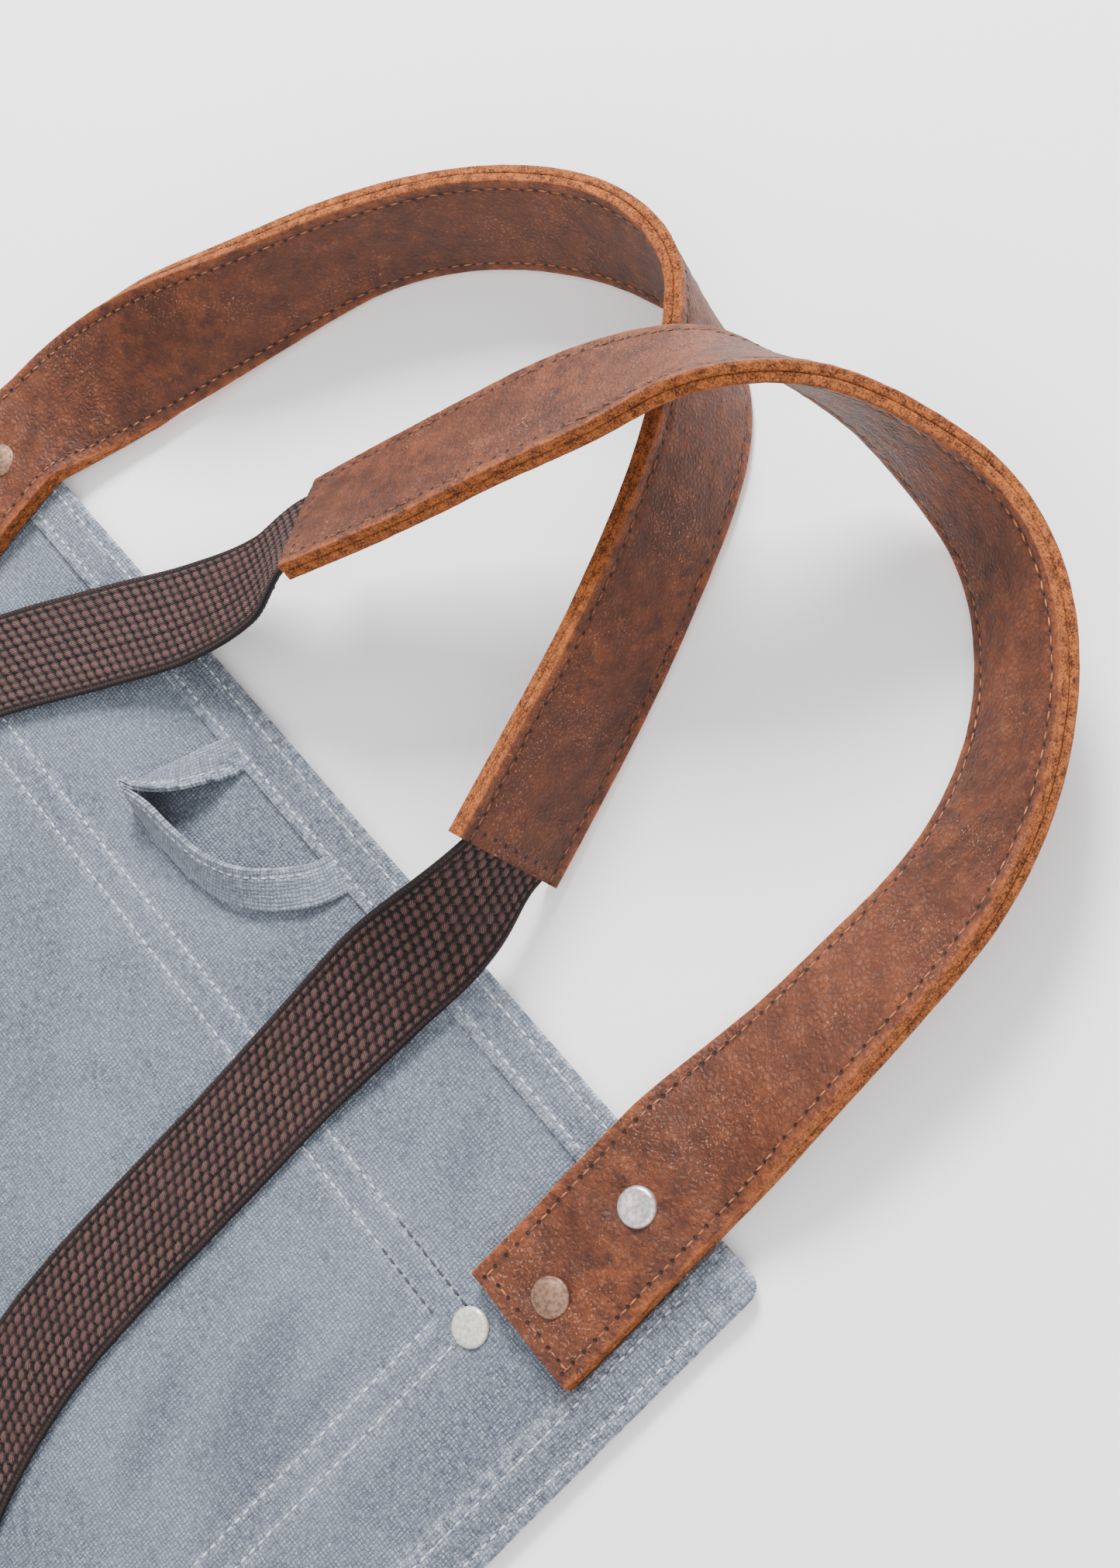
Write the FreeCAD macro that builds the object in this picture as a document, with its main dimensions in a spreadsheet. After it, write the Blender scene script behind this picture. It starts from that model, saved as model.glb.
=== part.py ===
"""Butcher's cross-back apron in waxed canvas, laid out flat with its inside face up.

The cloth lies in the XY plane with the bib towards +Y and the skirt towards -Y. Z = 0 is the surface
that it lies on. The origin is the centre of the object's footprint. Drawing dimensions are taken from
the middle of the bib's top edge, and every sub-part's Placement carries them to the origin.
"""

import FreeCAD, Part
import math
import os
import re

import Sketcher
from FreeCAD import Vector

# Driving dimensions in millimetres: alias, value, what it is.
DIMENSIONS = [
    ("bib_top", 339.45, "bib's top edge above the origin"),
    ("canvas_lift", 2.4, "cloth's underside above the table"),
    ("canvas_thick", 1.0, "one layer of waxed canvas"),
    ("hem_rise", 1.2, "folded hem above the single cloth"),
    ("hem_width", 15.0, "width of the folded hem"),
    ("bib_half", 186.5, "half width of the bib"),
    ("bib_straight", 110.0, "straight side of the bib above the armhole"),
    ("armhole_radius", 181.5, "radius of the armhole curve"),
    ("waist_drop", 290.0, "waist corner below the bib's top"),
    ("skirt_half", 345.0, "half width of the skirt"),
    ("fold_drop", 575.0, "fold line of the skirt below the bib's top"),
    ("fold_gap", 0.15, "half of the slot along the fold line"),
    ("skirt_drop", 860.0, "bottom hem below the bib's top"),
    ("panel_half", 147.0, "half width of the chest panel"),
    ("panel_top", 56.0, "chest panel's top edge below the bib's top"),
    ("panel_bottom", 236.0, "chest panel's bottom edge below the bib's top"),
    ("patch_half", 62.0, "half width of the chest pocket"),
    ("patch_top", 92.0, "chest pocket's mouth below the bib's top"),
    ("patch_bottom", 212.0, "chest pocket's bottom below the bib's top"),
    ("hip_inner", 62.0, "inner side of a hip pocket from the middle"),
    ("hip_outer", 252.0, "outer side of a hip pocket from the middle"),
    ("hip_top", 350.0, "hip pocket's mouth below the bib's top"),
    ("hip_bottom", 540.0, "hip pocket's bottom below the bib's top"),
    ("pocket_corner", 9.0, "rounding of a pocket's lower corners"),
    ("strap_width", 38.0, "leather strap's width"),
    ("ply_thick", 2.8, "one leather ply of a strap"),
    ("strap_clear", 0.1, "strap's underside above the cloth"),
    ("elastic_width", 32.0, "elastic webbing's width"),
    ("elastic_thick", 2.2, "elastic webbing's thickness"),
    ("loop_width", 12.0, "hanging loop's width"),
    ("loop_gap", 0.3, "hanging loop clear of the hem's edge"),
    ("loop_thick", 1.8, "hanging loop's folded thickness"),
    ("strap_centre", 152.3, "strap's middle line from the bib's middle line"),
    ("tab_start", 285.0, "waist tab's inner end from the middle"),
    ("tab_length", 56.0, "waist tab's length"),
    ("tab_centre", 312.0, "waist tab's middle line below the bib's top"),
    ("tab_ply", 2.0, "one leather ply of a waist tab"),
    ("tab_rise", 4.7, "waist tab's underside above the table"),
    ("rivet_radius", 5.3, "rivet head's radius"),
    ("rivet_dome", 1.5, "height of the dome on a rivet's cap"),
    ("base_dome", 0.8, "height of the dome under a rivet's base"),
    ("rivet_rim", 0.6, "height of a rivet head's rim"),
    ("post_radius", 1.6, "rivet's hollow post, outside"),
    ("bore_radius", 0.9, "rivet's hollow post, inside"),
    ("pin_radius", 0.85, "pin of the rivet's cap"),
    ("pin_length", 1.4, "length of the cap's pin"),
    ("cap_clear", 0.1, "room between a post's end and its cap"),
    ("hole_radius", 1.65, "hole punched for a rivet post"),
]

# Routes of the flat bands. Each station is x, y, lift, lean: the place of the band's middle line from the
# middle of the bib's top edge, the height of its lowest edge above the table, and its turn in degrees about
# its own line. At lean 0 and 180 the band lies flat, and at 90 it stands on its edge.
STRAP_RIGHT = [
    (152.3, -53, 3.5, 0), (152.3, -31, 3.5, 0), (152.3, -17.5, 4.7, 0), (152.3, 5, 4.7, 0),
    (153, 19, 2, 9), (154.5, 36, 0.5, 22), (155, 72, 0.5, 31), (153, 106, 0.5, 38), (140, 137, 0.5, 45),
    (116, 161, 0.5, 51), (88, 171, 4, 66), (57, 168, 24, 95), (31, 149, 43, 132), (8, 118, 42, 150),
    (-14, 84, 32, 150), (-36, 49, 22, 146),
]
STRAP_LEFT = [
    (-152.3, -53, 3.5, 180), (-152.3, -31, 3.5, 180), (-152.3, -17.5, 4.7, 180), (-151.9, 4, 4.7, 180),
    (-147.3, 18, 2, 168), (-137, 38, 0.4, 149), (-116, 76, 0.4, 114), (-91, 121, 0.4, 98),
    (-64, 147, 0.4, 104), (-32, 163, 0.4, 108), (-8, 165, 0.4, 98), (9, 156, 0.4, 82),
    (25, 138, 0.4, 72), (38, 112, 0.4, 73), (49, 84, 0.4, 72), (58, 55, 0.4, 70), (67, 26, 1.5, 69),
]
ELASTIC_RIGHT = [
    (64.6, 33.6, 4.5, 69), (67, 26, 4.9, 69), (66.5, 2, 5.6, 45), (62, -22, 5.4, 20), (59, -50, 4.4, 5),
    (58, -90, 3.7, 0), (57.5, -130, 3.7, 0), (60, -170, 3.7, 0), (74, -216, 3.7, 0), (108, -260, 3.7, 0),
    (165, -294, 3.7, 0), (228, -309, 4, 0), (288, -312, 5.6, 0),
]
ELASTIC_LEFT = [
    (-31.7, 55.8, 26.9, 146), (-36, 49, 25.1, 146), (-46, 27, 15, 160), (-62, 4, 9, 172),
    (-80, -18, 6.2, 178), (-100, -45, 5.1, 180), (-132, -100, 3.7, 180), (-158, -160, 3.7, 180),
    (-182, -218, 3.7, 180), (-211, -268, 3.7, 180), (-246, -302, 4, 180), (-288, -312, 5.6, 180),
]
LOOP = [
    (-22, -11.5, 3.7, 180), (-24, -16.5, 3.7, 178), (-27, -22, 3.9, 165), (-31.5, -31, 4.1, 145),
    (-36.5, -38, 4.1, 120), (-39.5, -41.5, 4.1, 100), (-36.5, -44, 4.1, 110), (-29, -43.5, 4.1, 125),
    (-17, -43, 4.1, 132), (-3, -41, 4.1, 138), (9, -36, 4.1, 148), (19, -27, 4, 166),
    (25.5, -17, 3.7, 178), (28, -11.5, 3.7, 180),
]
SECTION_STEP = 11.0
LOOP_STEP = 4.5

# Rivets as x, y from the middle of the bib's top edge.
STRAP_RIVET_DROPS = (9.0, 41.0)
PANEL_RIVET = (141.5, 64.0)
TAB_RIVETS = (299.0, 326.0)
HIP_RIVET_INSET = 8.0

document = FreeCAD.newDocument("ButcherApron")
sheet = document.addObject("Spreadsheet::Sheet", "Dimensions")
for row, (alias, number, meaning) in enumerate(DIMENSIONS, start=1):
    sheet.set("A%d" % row, alias)
    sheet.set("B%d" % row, str(number))
    sheet.set("C%d" % row, meaning)
    sheet.setAlias("B%d" % row, alias)
document.recompute()

ALIASES = {alias for alias, _, _ in DIMENSIONS}
nodes = {}


def measure(text):
    """The number that an expression on the sheet's aliases comes to."""
    return float(sheet.evalExpression(text))


def bound(text):
    """The same expression with the sheet's name before each alias, for use outside the sheet."""
    return re.sub(
        r"[a-z_]+", lambda word: "Dimensions." + word[0] if word[0] in ALIASES else word[0], text
    )


def keep(name, feature):
    """Names a finished sub-part, places it in the object's frame and lists it for export."""
    feature.Label = name
    feature.setExpression("Placement.Base.y", "Dimensions.bib_top")
    nodes[name] = feature


# ---------------------------------------------------------------- cut cloth and flat leather


def pin_point(sketch, edge, spot, place):
    """Ties one sketch point to a pair of expressions for its x and y."""
    for kind, text in zip(("DistanceX", "DistanceY"), place):
        number = sketch.addConstraint(Sketcher.Constraint(kind, -1, 1, edge, spot, measure(text)))
        sketch.setExpression("Constraints[%d]" % number, bound(text))


def pin_radius(sketch, edge, text):
    """Ties the radius of a sketch's arc or circle to an expression."""
    number = sketch.addConstraint(Sketcher.Constraint("Radius", edge, measure(text)))
    sketch.setExpression("Constraints[%d]" % number, bound(text))


def arc_between(start, finish, radius, turn):
    """The short arc of that radius from start to finish: turn is 1 anticlockwise and -1 clockwise."""
    chord = finish - start
    offset = math.sqrt(radius**2 - (chord.Length / 2) ** 2)
    centre = (start + finish) / 2 + Vector(-chord.y, chord.x, 0).normalize() * offset * turn
    low, high = (start, finish) if turn > 0 else (finish, start)
    first = math.atan2(low.y - centre.y, low.x - centre.x)
    second = math.atan2(high.y - centre.y, high.x - centre.x)
    return Part.ArcOfCircle(Part.Circle(centre, Vector(0, 0, 1), radius), first, second)


def outline(body, name, corners, rise, arcs=None, holes=()):
    """A closed sketch parallel to the body's XY plane, at the height of the expression rise.

    corners are pairs of expressions. arcs maps an edge's number to its radius expression and turn, and
    holes are pairs of numbers, each the centre of a punched rivet hole.
    """
    sketch = body.newObject("Sketcher::SketchObject", name)
    plane = next(item for item in body.Origin.OriginFeatures if item.Role == "XY_Plane")
    sketch.AttachmentSupport = [(plane, "")]
    sketch.MapMode = "FlatFace"
    sketch.setExpression("AttachmentOffset.Base.z", bound(rise))
    arcs = arcs or {}
    points = [Vector(measure(across), measure(along), 0) for across, along in corners]
    spots = []
    for number, start in enumerate(points):
        finish = points[(number + 1) % len(points)]
        if number in arcs:
            radius, turn = arcs[number]
            sketch.addGeometry(arc_between(start, finish, measure(radius), turn))
            spots.append((1, 2) if turn > 0 else (2, 1))
        else:
            sketch.addGeometry(Part.LineSegment(start, finish))
            spots.append((1, 2))
    for number in range(len(points)):
        before = (number - 1) % len(points)
        meet = Sketcher.Constraint("Coincident", before, spots[before][1], number, spots[number][0])
        sketch.addConstraint(meet)
        pin_point(sketch, number, spots[number][0], corners[number])
    for number, (radius, _) in arcs.items():
        pin_radius(sketch, number, radius)
    for across, along in holes:
        ring = sketch.addGeometry(Part.Circle(Vector(across, along, 0), Vector(0, 0, 1), 1.0))
        pin_point(sketch, ring, 3, ("%.3f" % across, "%.3f" % along))
        pin_radius(sketch, ring, "hole_radius")
    return sketch


def pad(body, sketch, length):
    """Pads a sketch upwards by an expression."""
    feature = body.newObject("PartDesign::Pad", sketch.Name + "Pad")
    feature.Profile = sketch
    feature.setExpression("Length", bound(length))


def rectangle(left, right, low, high):
    """The four corners of a rectangle, anticlockwise, from expressions."""
    return [(left, low), (right, low), (right, high), (left, high)]


def mirrored(corners):
    """A half outline on the right side, followed by its mirror image on the left."""
    return corners + [("0 - (%s)" % across, along) for across, along in reversed(corners)]


def rivet_places(group):
    """The centres of one group's rivets, on both sides of the apron."""
    hip_drop = measure("hip_top") + HIP_RIVET_INSET
    half = {
        "strap": [(measure("strap_centre"), -drop) for drop in STRAP_RIVET_DROPS],
        "panel": [(PANEL_RIVET[0], -PANEL_RIVET[1])],
        "tab": [(across, -measure("tab_centre")) for across in TAB_RIVETS],
        "hip": [
            (measure("hip_inner") + HIP_RIVET_INSET, -hip_drop),
            (measure("hip_outer") - HIP_RIVET_INSET, -hip_drop),
        ],
    }[group]
    return [(side * across, along) for side in (-1, 1) for across, along in half]


def canvas_upper():
    """Bib, armholes and upper skirt down to the fold line, with the folded hem round them."""
    body = document.addObject("PartDesign::Body", "CanvasUpper")
    fold = "0 - fold_drop + fold_gap"
    outer = mirrored(
        [
            ("skirt_half", fold),
            ("skirt_half", "0 - waist_drop"),
            ("bib_half", "0 - bib_straight"),
            ("bib_half", "0"),
        ]
    )
    holes = [place for group in ("strap", "panel", "tab", "hip") for place in rivet_places(group)]
    armholes = {1: ("armhole_radius", -1), 5: ("armhole_radius", -1)}
    cloth = outline(body, "UpperCloth", outer, "canvas_lift", armholes, holes)
    pad(body, cloth, "canvas_thick")
    reach = "(armhole_radius + hem_width)"
    sideways = "(bib_half + armhole_radius - skirt_half + hem_width)"
    waist = "0 - bib_straight - sqrt(%s ^ 2 - %s ^ 2)" % (reach, sideways)
    inner = mirrored(
        [
            ("bib_half - hem_width", "0 - hem_width"),
            ("bib_half - hem_width", "0 - bib_straight"),
            ("skirt_half - hem_width", waist),
            ("skirt_half - hem_width", fold),
        ]
    )
    ribbon = inner[4:] + inner[:4] + outer
    curves = {1: (reach, 1), 5: (reach, 1), 9: ("armhole_radius", -1), 13: ("armhole_radius", -1)}
    in_hem = [place for place in rivet_places("strap") if place[1] > -measure("hem_width")]
    hem = outline(body, "UpperHem", ribbon, "canvas_lift + canvas_thick", curves, in_hem)
    pad(body, hem, "hem_rise")
    keep("canvas_bib_and_waist", body)


def canvas_lower():
    """The skirt below the fold line, with its hem on three sides."""
    body = document.addObject("PartDesign::Body", "CanvasLower")
    fold = "0 - fold_drop - fold_gap"
    cloth = outline(
        body, "LowerCloth", rectangle("0 - skirt_half", "skirt_half", "0 - skirt_drop", fold), "canvas_lift"
    )
    pad(body, cloth, "canvas_thick")
    ribbon = [
        ("0 - skirt_half", "0 - skirt_drop"),
        ("skirt_half", "0 - skirt_drop"),
        ("skirt_half", fold),
        ("skirt_half - hem_width", fold),
        ("skirt_half - hem_width", "0 - skirt_drop + hem_width"),
        ("0 - skirt_half + hem_width", "0 - skirt_drop + hem_width"),
        ("0 - skirt_half + hem_width", fold),
        ("0 - skirt_half", fold),
    ]
    hem = outline(body, "LowerHem", ribbon, "canvas_lift + canvas_thick")
    pad(body, hem, "hem_rise")
    keep("canvas_skirt", body)


def pocket(name, left, right, low, high, rise, holes=()):
    """A patch of canvas with its two lower corners rounded, sewn on from below."""
    body = document.addObject("PartDesign::Body", "Body_" + name)
    round_off = "pocket_corner"
    corners = [
        ("%s + %s" % (left, round_off), low),
        ("%s - %s" % (right, round_off), low),
        (right, "%s + %s" % (low, round_off)),
        (right, high),
        (left, high),
        (left, "%s + %s" % (low, round_off)),
    ]
    patch = outline(body, "Patch_" + name, corners, rise, {1: (round_off, 1), 5: (round_off, 1)}, holes)
    pad(body, patch, "canvas_thick")
    keep(name, body)


def pockets():
    """The chest panel under the bib, its pocket, and the two hip pockets."""
    under_cloth = "canvas_lift - canvas_thick"
    pocket(
        "chest_panel",
        "0 - panel_half",
        "panel_half",
        "0 - panel_bottom",
        "0 - panel_top",
        under_cloth,
        rivet_places("panel"),
    )
    pocket(
        "chest_pocket",
        "0 - patch_half",
        "patch_half",
        "0 - patch_bottom",
        "0 - patch_top",
        under_cloth + " - canvas_thick",
    )
    for name, inner, outer, side in (
        ("hip_pocket_right", "hip_inner", "hip_outer", 1),
        ("hip_pocket_left", "0 - hip_outer", "0 - hip_inner", -1),
    ):
        holes = [place for place in rivet_places("hip") if place[0] * side > 0]
        pocket(name, inner, outer, "0 - hip_bottom", "0 - hip_top", under_cloth, holes)


def waist_tabs():
    """Two leather plies at each end of the waist, which hold the elastic's end between them."""
    for side, hand in ((-1, "left"), (1, "right")):
        near, far = "tab_start", "tab_start + tab_length"
        left, right = (near, far) if side > 0 else ("0 - (%s)" % far, "0 - " + near)
        low = "0 - tab_centre - strap_width / 2"
        high = "0 - tab_centre + strap_width / 2"
        holes = [place for place in rivet_places("tab") if place[0] * side > 0]
        for ply, rise in (("backing", "tab_rise"), ("face", "tab_rise + tab_ply")):
            body = document.addObject("PartDesign::Body", "Tab_%s_%s" % (hand, ply))
            corners = rectangle(left, right, low, high)
            leather = outline(body, "Leather_%s_%s" % (hand, ply), corners, rise, None, holes)
            pad(body, leather, "tab_ply")
            keep("waist_tab_%s_%s" % (hand, ply), body)


# ---------------------------------------------------------------- flat bands along a route


def slopes(knots, heights):
    """The slope of a smooth curve at each knot: flat where the heights turn back or stay level."""
    steps = [after - before for before, after in zip(knots, knots[1:])]
    rates = [(after - before) / step for before, after, step in zip(heights, heights[1:], steps)]
    inner = []
    for i in range(1, len(rates)):
        blend = (rates[i - 1] * steps[i] + rates[i] * steps[i - 1]) / (steps[i - 1] + steps[i])
        inner.append(blend if rates[i - 1] * rates[i] > 0 else 0.0)
    return [rates[0]] + inner + [rates[-1]]


def hermite(knots, heights, tangents, place):
    """The smooth curve's height at a place between the first and last knots."""
    i = max(j for j in range(len(knots) - 1) if knots[j] <= place)
    step = knots[i + 1] - knots[i]
    share = (place - knots[i]) / step
    rest = 1 - share
    return (
        heights[i] * (1 + 2 * share) * rest**2
        + tangents[i] * step * share * rest**2
        + heights[i + 1] * share**2 * (3 - 2 * share)
        - tangents[i + 1] * step * share**2 * rest
    )


def route_frames(route, width, thick, step):
    """Points along a band's middle line, each with its width and thickness directions."""
    knots = [0.0]
    for before, after in zip(route, route[1:]):
        knots.append(knots[-1] + math.hypot(after[0] - before[0], after[1] - before[1]))
    columns = [[station[i] for station in route] for i in range(4)]
    curves = [(column, slopes(knots, column)) for column in columns]

    def point(place):
        x, y, lift, lean = (hermite(knots, column, tangents, place) for column, tangents in curves)
        turn = math.radians(lean)
        rest = width / 2 * math.sin(turn) + thick / 2 * abs(math.cos(turn))
        return Vector(x, y, lift + rest), turn

    count = max(2, round(knots[-1] / step))
    frames = []
    for number in range(count + 1):
        place = knots[-1] * number / count
        centre, turn = point(place)
        before = point(max(0.0, place - 0.5))[0]
        after = point(min(knots[-1], place + 0.5))[0]
        along = (after - before).normalize()
        right = Vector(along.y, -along.x, 0).normalize()
        up = right.cross(along)
        across = right * math.cos(turn) + up * math.sin(turn)
        frames.append((centre, across, across.cross(along)))
    return frames


def band(frames, width, low, high):
    """A closed solid along the frames, from low to high through its thickness."""
    sections = []
    for centre, across, through in frames:
        corners = [
            centre + across * (side * width / 2) + through * level
            for side, level in ((-1, low), (1, low), (1, high), (-1, high))
        ]
        sections.append(Part.makePolygon(corners + corners[:1]))
    return Part.makeLoft(sections, True, True)


def band_feature(name, shape):
    """A document object that holds one band's solid."""
    feature = document.addObject("Part::Feature", "Band_" + name)
    feature.Shape = shape
    keep(name, feature)


def straps():
    """Two leather straps of two plies each, and the elastic that runs on from each to a waist tab."""
    width = measure("strap_width")
    ply = measure("ply_thick")
    webbing = measure("elastic_thick")
    drill = measure("hole_radius")
    tab = Part.makeBox(100, 200, 60, Vector(measure("tab_start"), -400, 0))
    for hand, route, onward, waist, side in (
        ("right", STRAP_RIGHT, ELASTIC_LEFT, "left", 1),
        ("left", STRAP_LEFT, ELASTIC_RIGHT, "right", -1),
    ):
        frames = route_frames(route, width, 2 * ply, SECTION_STEP)
        holes = [place for place in rivet_places("strap") if place[0] * side > 0]
        plies = []
        for name, layer in (("lining", 1), ("face", -1)):
            edges = sorted((0.0, ply * layer * side))
            shape = band(frames, width, *edges)
            for across, along in holes:
                shape = shape.cut(Part.makeCylinder(drill, 30, Vector(across, along, 0)))
            plies.append(shape)
            band_feature("strap_%s_%s" % (hand, name), largest(shape))
        print("strap", hand, "length %.1f" % route_length(frames))
        frames = route_frames(onward, measure("elastic_width"), webbing, SECTION_STEP)
        shape = band(frames, measure("elastic_width"), -webbing / 2, webbing / 2)
        waist_end = tab if waist == "right" else tab.mirror(Vector(0, 0, 0), Vector(1, 0, 0))
        band_feature("elastic_to_%s_waist" % waist, largest(shape.cut(plies + [waist_end])))
        print("elastic to", waist, "waist length %.1f" % route_length(frames))


def largest(shape):
    """The biggest solid of a shape."""
    return max(shape.Solids, key=lambda solid: solid.Volume)


def route_length(frames):
    """The length of a band's middle line."""
    return sum((after[0] - before[0]).Length for before, after in zip(frames, frames[1:]))


def hanging_loop():
    """The folded canvas loop sewn in at the hem, at the middle of the bib's top edge."""
    width = measure("loop_width")
    thick = measure("loop_thick")
    frames = route_frames(LOOP, width, thick, LOOP_STEP)
    edge = -measure("hem_width + loop_gap")
    below_hem = Part.makeBox(200, 200, 60, Vector(-100, edge - 200, 0))
    loop = band(frames, width, -thick / 2, thick / 2).common(below_hem)
    band_feature("hanging_loop", largest(loop))
    print("hanging loop length %.1f" % route_length(frames))


# ---------------------------------------------------------------- double-cap rivets


def primitive(kind, name, sizes, centre):
    """A Part primitive whose sizes are expressions and whose base stands at centre."""
    shape = document.addObject("Part::" + kind, name)
    for prop, text in sizes.items():
        shape.setExpression(prop, bound(text))
    for axis, text in zip("xyz", centre):
        shape.setExpression("Placement.Base." + axis, bound(text))
    return shape


def boolean(kind, name, base, tool):
    """A Part boolean of two shapes."""
    result = document.addObject("Part::" + kind, name)
    result.Base = base
    result.Tool = tool
    return result


def rivet_head(name, place, seat, side):
    """A rim with a shallow dome, standing on its seat: side is 1 for a head above, -1 for one below."""
    rim_base = seat if side > 0 else "%s - rivet_rim" % seat
    dome_base = "%s + rivet_rim" % seat if side > 0 else "%s - rivet_rim" % seat
    rim = primitive(
        "Cylinder", name + "Rim", {"Radius": "rivet_radius", "Height": "rivet_rim"}, place + (rim_base,)
    )
    height = "rivet_dome" if side > 0 else "base_dome"
    sizes = {"Radius1": height, "Radius2": "rivet_radius", "Radius3": "rivet_radius"}
    dome = primitive("Ellipsoid", name + "Dome", sizes, place + (dome_base,))
    dome.Angle1 = 0 if side > 0 else -90
    dome.Angle2 = 90 if side > 0 else 0
    return boolean("Fuse", name + "Head", rim, dome)


def rivets(group, bottom, tops):
    """One group of rivets: a node of bases with hollow posts, and a node of caps with pins.

    bottom is the height expression of the seat below, and tops gives that of the seat above for each place.
    """
    bases = []
    caps = []
    for number, (place, top) in enumerate(zip(rivet_places(group), tops)):
        spot = tuple("%.3f" % part for part in place)
        name = "%s_%d_" % (group, number)
        head = rivet_head(name + "Base", spot, bottom, -1)
        reach = "%s - (%s) - cap_clear" % (top, bottom)
        post = primitive("Cylinder", name + "Post", {"Radius": "post_radius", "Height": reach}, spot + (bottom,))
        bore = primitive("Cylinder", name + "Bore", {"Radius": "bore_radius", "Height": reach}, spot + (bottom,))
        solid = boolean("Fuse", name + "Stem", head, post)
        bases.append(boolean("Cut", name + "Hollow", solid, bore))
        head = rivet_head(name + "Cap", spot, top, 1)
        tip = "%s - pin_length" % top
        pin = primitive("Cylinder", name + "Pin", {"Radius": "pin_radius", "Height": "pin_length"}, spot + (tip,))
        caps.append(boolean("Fuse", name + "Cap", head, pin))
    for part, members in (("bases", bases), ("caps", caps)):
        compound = document.addObject("Part::Compound", "Rivets_%s_%s" % (group, part))
        compound.Links = members
        keep("%s_rivet_%s" % (group, part), compound)


def all_rivets():
    """The rivets of the straps, chest panel, waist tabs and hip pockets."""
    under_cloth = "canvas_lift"
    under_patch = "canvas_lift - canvas_thick"
    on_cloth = "canvas_lift + canvas_thick"
    strap_low = "canvas_lift + canvas_thick + strap_clear + 2 * ply_thick"
    strap_high = strap_low + " + hem_rise"
    tab_top = "tab_rise + 2 * tab_ply"
    rivets("strap", under_cloth, [strap_high, strap_low] * 2)
    rivets("panel", under_patch, [on_cloth] * 2)
    rivets("tab", under_cloth, [tab_top] * 4)
    rivets("hip", under_patch, [on_cloth] * 4)


# ---------------------------------------------------------------- assembly and export


def check():
    """Stops if any object failed or any sub-part has no valid solid."""
    for item in document.Objects:
        if "Invalid" in item.State or "Error" in item.State:
            raise RuntimeError("%s failed: %s" % (item.Name, item.State))
    for name, feature in nodes.items():
        shape = feature.Shape
        if shape.isNull() or not shape.isValid() or not shape.Solids:
            raise RuntimeError("%s has no valid solid" % name)
        print("%-28s %2d solids %10.1f mm3" % (name, len(shape.Solids), shape.Volume))


canvas_upper()
canvas_lower()
pockets()
waist_tabs()
straps()
hanging_loop()
all_rivets()
document.recompute()
check()
os.makedirs("parts", exist_ok=True)
for name, feature in nodes.items():
    feature.Shape.exportStep(os.path.join("parts", name + ".step"))
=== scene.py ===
"""The visual model of a waxed-canvas butcher apron, built around its CAD frame.

The apron lies flat with its inside face up. Lengths in the classes are millimetres. The flat drawing is
measured from the middle of the bib's top edge, with x to the right and y up towards the straps, and z is the
height above the table. `Drawing` turns those places into the frame's metres.
"""

import logging
import math
from dataclasses import dataclass
from enum import Enum
from typing import Iterable, Sequence

import bmesh
import bpy
import numpy as np
from mathutils import Matrix, Vector, noise


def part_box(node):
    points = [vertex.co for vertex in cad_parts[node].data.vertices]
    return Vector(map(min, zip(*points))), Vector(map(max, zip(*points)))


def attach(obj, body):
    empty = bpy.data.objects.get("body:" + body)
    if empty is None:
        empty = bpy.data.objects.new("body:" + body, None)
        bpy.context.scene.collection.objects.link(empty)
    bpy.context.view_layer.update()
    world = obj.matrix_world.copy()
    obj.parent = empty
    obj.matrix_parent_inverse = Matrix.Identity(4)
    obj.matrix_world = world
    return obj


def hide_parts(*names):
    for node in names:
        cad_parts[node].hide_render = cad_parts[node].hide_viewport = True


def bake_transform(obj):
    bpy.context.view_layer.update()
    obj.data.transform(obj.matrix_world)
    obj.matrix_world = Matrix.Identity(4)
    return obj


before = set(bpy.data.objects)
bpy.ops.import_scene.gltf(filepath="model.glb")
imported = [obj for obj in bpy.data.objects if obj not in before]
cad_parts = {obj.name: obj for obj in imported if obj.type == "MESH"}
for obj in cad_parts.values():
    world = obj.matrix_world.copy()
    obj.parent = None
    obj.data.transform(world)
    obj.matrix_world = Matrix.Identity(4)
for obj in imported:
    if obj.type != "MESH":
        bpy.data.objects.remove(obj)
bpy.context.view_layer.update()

log = logging.getLogger("apron")

MM = 0.001
UV_NAME = "flat"


# ---------------------------------------------------------------- shader maths


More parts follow.
